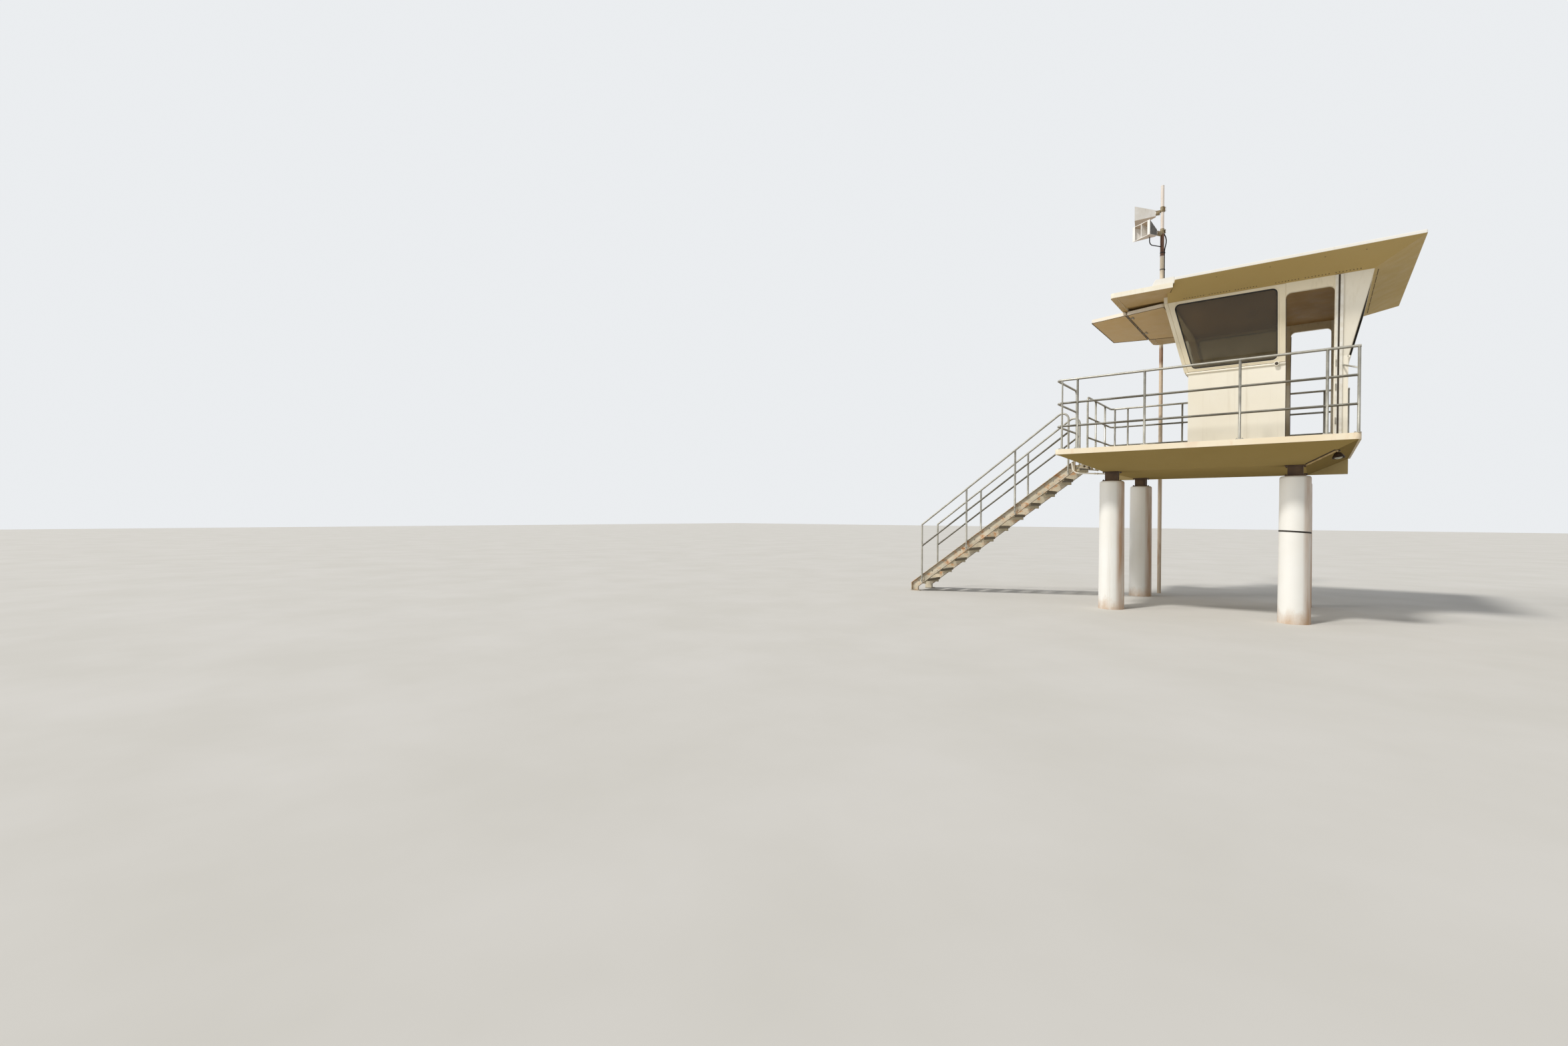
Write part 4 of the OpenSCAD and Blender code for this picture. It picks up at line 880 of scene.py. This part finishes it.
brackets = Shape()
turns = sorted([math.atan2(p.y - HOLE.y, p.x - HOLE.x) for p in CORNERS] + [a - math.pi for a in angles(28)])
for y0, y1 in ((STAIR_Y0 + 0.006, STAIR_Y0 + 0.014), (STAIR_Y1 - 0.014, STAIR_Y1 - 0.006)):
    rings = []
    for d in (Vector((math.cos(a), math.sin(a))) for a in turns):
        o, c = HOLE + d * to_edge(d), HOLE + d * HOLE_R
        rings.append([(p.x, y, p.y) for p, y in ((o, y0), (o, y1), (c, y1), (c, y0))])
    brackets.loops(rings, closed=True)
    brackets.hexbolt((-0.452, (y0 + y1) / 2, 2.28), (1, 0, -0.1), 0.026)
brackets.piece("stair_brackets", "stair", "stair_steel")

# ---------------------------------------------------------------- shutter
# Gasket round the underside of each leaf, and the knuckles of its hinges
LEAF_GAP, JOINT_GAP = 0.045, 0.012
gasket, knuckles = Shape(), Shape()


def leaf_half(x):
    """Half the width of a leaf at x; it narrows away from the hinge as the opening does."""
    at_hinge = HALF_Y + (WIN_Z1 - SILL) * SLOPE - LEFT_POST - LEAF_GAP
    return at_hinge - (HINGE_X - x) * SLOPE / math.sqrt(1 + SLOPE * SLOPE)


def leaf_outline(x0, x1, inset, r):
    """Outline of the leaf from x0 to x1, moved in by inset, with corners of radius r."""
    i = inset + r
    return rounded([(x + a * i, MID_Y + s * leaf_half(x) - s * i)
                    for x, a, s in ((x0, 1, -1), (x1, -1, -1), (x1, -1, 1), (x0, 1, 1))], r)


for x0, x1 in ((JOINT_X, HINGE_X), (LEAF_X0, JOINT_X - JOINT_GAP)):
    ring(gasket, leaf_outline(x0, x1, 0.001, 0.02), leaf_outline(x0, x1, 0.011, 0.012),
         lambda x, y, z: (x, y, z), LEAF_Z - 0.005, LEAF_Z + 0.001)
gasket.piece("leaf_gaskets", "gasket", "shutter_gelcoat", bevel=0.0015)
for y in (CY0 + 0.25, MID_Y, CY1 - 0.25):
    for x in (HINGE_X + 0.0175, JOINT_X - JOINT_GAP / 2):
        for k in range(3):
            knuckles.lathe((x, y - 0.045 + 0.03 * k, LEAF_Z + 0.004), (0, 1, 0),
                           [(0.001, 0.008), (0.029, 0.008)], 12)
knuckles.piece("shutter_knuckles", "bright", "steel_tube")

# ---------------------------------------------------------------- mast and horns
# Cap at the mast's top, bead at its joint under the lower horn, sleeve further down
fitting, clamp = Shape(), Shape()
fitting.lathe((MAST_X, MAST_Y, MAST_H - 0.012), UP,
              [(0, 0.0305), (0.008, 0.0305), (0.0115, 0.022), (0.012, 0.008)], 24)
fitting.torus((MAST_X, MAST_Y, JOINT_Z), UP, 0.031, 0.005, 24, 8)
fitting.lathe((MAST_X, MAST_Y, 6.44), UP, [(0, 0.0345), (0.004, 0.037), (0.03, 0.037), (0.034, 0.0345)], 24)
fitting.piece("mast_fittings", "mast", "mast_paint")



def horn_frame(height, azimuth):
    """Matrix from a horn's own axes, with x along its arm, to the tower's."""
    return Matrix.Translation((MAST_X, MAST_Y, height)) @ Matrix.Rotation(math.radians(azimuth), 4, "Z")


# Plate and four bolts behind the mast at each horn's clamp
for horn in HORNS:
    turn = horn_frame(*horn)
    for s in (-1, 1):
        for z in (0.03, 0.08):
            a, b = turn @ Vector((-0.05, s * 0.024, z)), turn @ Vector((-0.02, s * 0.024, z))
            clamp.tube([a, b], 0.004, 8)
            clamp.hexbolt(a, a - b, 0.012)
    clamp.box((-0.044, -0.034, 0.02), (-0.036, 0.034, 0.092), turn)
clamp.piece("horn_clamps", "bronze", "mast_paint")


LOWER = horn_frame(*HORNS[1])


def horn_wall(t, s, out, z):
    """Point on the lower horn's side wall, t of the way from throat to mouth and out of its face."""
    return LOWER @ Vector((HORN_X0 + HORN_L * t - 0.432 * out, s * (0.03 + 0.17 * t + 0.902 * out), z))


def wall_half(t):
    """Half the height of the ribbed panel on that wall."""
    return 0.05 + 0.0825 * t


# Ribbed panels on the outside of the lower horn's side walls, dark with grime and with painted shade
ribs = Shape()
for s in (-1, 1):
    ribs.loops([[horn_wall(t, s, out, q * wall_half(t))
                 for q, out in ((-1, -0.001), (1, -0.001), (1, 0.0018), (-1, 0.0018))] for t in (0.04, 0.93)])
    for t in (0.12, 0.25, 0.38, 0.51, 0.64, 0.77, 0.9):
        ribs.loops([[horn_wall(t + a, s, out, q * wall_half(t))
                     for a, out in ((-0.011, 0.0), (-0.007, 0.006), (0.007, 0.006), (0.011, 0.0))]
                    for q in (-1, 1)])
ribs.piece("horn_ribs", "horn_rib_grime_and_shade", "horn_shell")

# Cable down the mast's side, clipped to it: distance from the mast's axis, and height
SIDE_X, SIDE_Y = 0.785, 0.62
LEAVE_Z, CABLE_BEND, CABLE_RUN, TILT = 5.3, 0.12, 0.17, math.radians(60)
route = [(0.026, 6.90), (0.048, 6.862), (0.068, 6.815), (0.079, 6.765), (0.077, 6.715), (0.066, 6.665),
         (0.054, 6.615), (0.0465, 6.56), (0.0445, 6.5), (0.0445, 6.2), (0.0445, 5.9), (0.0445, 5.6),
         (0.0445, 5.4), (0.0445, LEAVE_Z)]
wire = [(MAST_X + SIDE_X * d, MAST_Y + SIDE_Y * d, z) for d, z in route]

# Then it bends away from the mast, runs on at a slant, bends back and goes down into the roof
x, y, z = wire[-1]
for a in (TILT * k / 6 for k in range(1, 7)):
    wire.append((x, y - CABLE_BEND * (1 - math.cos(a)), z - CABLE_BEND * math.sin(a)))
x, y, z = wire[-1]
y, z = y - CABLE_RUN * math.sin(TILT), z - CABLE_RUN * math.cos(TILT)
wire.append((x, y, z))
for a in (TILT - TILT * k / 6 for k in range(1, 7)):
    wire.append((x, y - CABLE_BEND * (math.cos(a) - math.cos(TILT)),
                 z - CABLE_BEND * (math.sin(TILT) - math.sin(a))))
x, y, z = wire[-1]
wire.append((x, y, VISOR_Z - 0.004))
lead, clip = Shape(), Shape()
lead.tube(wire, 0.0105, 14)
lead.lathe((x, y, VISOR_Z - 0.002), UP, [(0, 0.03), (0.012, 0.028), (0.03, 0.017), (0.034, 0.0112)], 20)
lead.piece("mast_cable", "rubber", "lamp_housing")

# Clips: bands round the mast that bulge over the cable
for z in (6.52, 6.2, 5.88, 5.56, 5.34):
    rings = []
    for a in angles(28):
        r = 0.0352 + 0.0222 * max(0.0, math.cos(a)) ** 3
        ux = SIDE_X * math.cos(a) - SIDE_Y * math.sin(a)
        uy = SIDE_Y * math.cos(a) + SIDE_X * math.sin(a)
        rings.append([(MAST_X + (r + d) * ux, MAST_Y + (r + d) * uy, z + h)
                      for d, h in ((0, -0.008), (0.0018, -0.008), (0.0018, 0.008), (0, 0.008))])
    clip.loops(rings, closed=True)
clip.piece("cable_clips", "rubber", "lamp_housing")

# ---------------------------------------------------------------- strap
# Webbing round the near right column, a little lower on the side away from the stair
STRAP_Z, STRAP_W, STRAP_R0, STRAP_R1, STRAP_TILT = 1.26, 0.022, 0.1805, 0.1842, 0.075
strap = Shape()
strap.loops([[(COL_DX + math.cos(a) * r, math.sin(a) * r,
               STRAP_Z + h * STRAP_W / 2 - STRAP_TILT * (SIDE_X * math.cos(a) + SIDE_Y * math.sin(a)) * r)
              for a in angles(48)] for r, h in ((STRAP_R0, -1), (STRAP_R1, -1), (STRAP_R1, 1), (STRAP_R0, 1))],
            closed=True)
strap.piece("column_strap", "strap", "dark_steel")

# ---------------------------------------------------------------- camera, light and floor
# Camera, as fitted to the photograph: place, angles in degrees, focal length over the frame's width
EYE, ANGLES = (2.5466, -11.6711, 1.4532), (38.2918, -0.5822, 0.2039)
SENSOR, FOCAL, WIDE = 36.0, 1007.8, 2350
yaw, pitch, roll = (math.radians(a) for a in ANGLES)
ahead = Vector((-math.sin(yaw) * math.cos(pitch), math.cos(yaw) * math.cos(pitch), math.sin(pitch)))
side = Vector((math.cos(yaw), math.sin(yaw), 0))
up = side.cross(ahead)
right = side * math.cos(roll) + up * math.sin(roll)
up = up * math.cos(roll) - side * math.sin(roll)
cam = bpy.data.objects.new("camera", bpy.data.cameras.new("camera"))
bpy.context.scene.collection.objects.link(cam)
cam.matrix_world = Matrix([(right[k], up[k], -ahead[k], EYE[k]) for k in range(3)] + [(0, 0, 0, 1)])
cam.data.sensor_width = SENSOR
cam.data.sensor_fit = "HORIZONTAL"
cam.data.lens = SENSOR * FOCAL / WIDE
cam.data.clip_start, cam.data.clip_end = 0.05, 400
bpy.context.scene.camera = cam

FLOOR = 90
floor = Shape()
floor.box((-FLOOR, -FLOOR, -0.06), (FLOOR, FLOOR, -0.0005))
floor.build("studio_floor", "floor")

# A soft, dim sky lights the tower; a paler one shows behind it, in its glass and in what shines
world = bpy.data.worlds.new("studio")
bpy.context.scene.world = world
world.use_nodes = True
nodes, links = world.node_tree.nodes, world.node_tree.links
dim, pale_sky = nodes["Background"], nodes.new("ShaderNodeBackground")
for sky, colour, strength in ((dim, (0.86, 0.89, 0.93, 1), 0.4), (pale_sky, (0.83, 0.85, 0.87, 1), 1.0)):
    sky.inputs["Color"].default_value = colour
    sky.inputs["Strength"].default_value = strength
path, join = nodes.new("ShaderNodeLightPath"), nodes.new("ShaderNodeMixShader")
seen = path.outputs["Is Camera Ray"]
for ray in ("Is Glossy Ray", "Is Transmission Ray"):
    either = nodes.new("ShaderNodeMath")
    either.operation = "MAXIMUM"
    links.new(seen, either.inputs[0])
    links.new(path.outputs[ray], either.inputs[1])
    seen = either.outputs[0]
links.new(seen, join.inputs[0])
links.new(dim.outputs[0], join.inputs[1])
links.new(pale_sky.outputs[0], join.inputs[2])
links.new(join.outputs[0], nodes["World Output"].inputs["Surface"])

# High key lamp and a low, softer one that reaches under the deck
for name, energy, soft, aim in (("key_lamp", 2.1, 7, (0.244, 0.595, -0.766)),
                                ("low_lamp", 0.75, 16, (0.70, 0.62, -0.35))):
    lamp = bpy.data.objects.new(name, bpy.data.lights.new(name, "SUN"))
    lamp.data.energy = energy
    lamp.data.angle = math.radians(soft)
    lamp.data.color = (1.0, 0.975, 0.935)
    lamp.rotation_euler = Vector(aim).to_track_quat("-Z", "Y").to_euler()
    bpy.context.scene.collection.objects.link(lamp)

bpy.context.scene.view_settings.view_transform = "Standard"
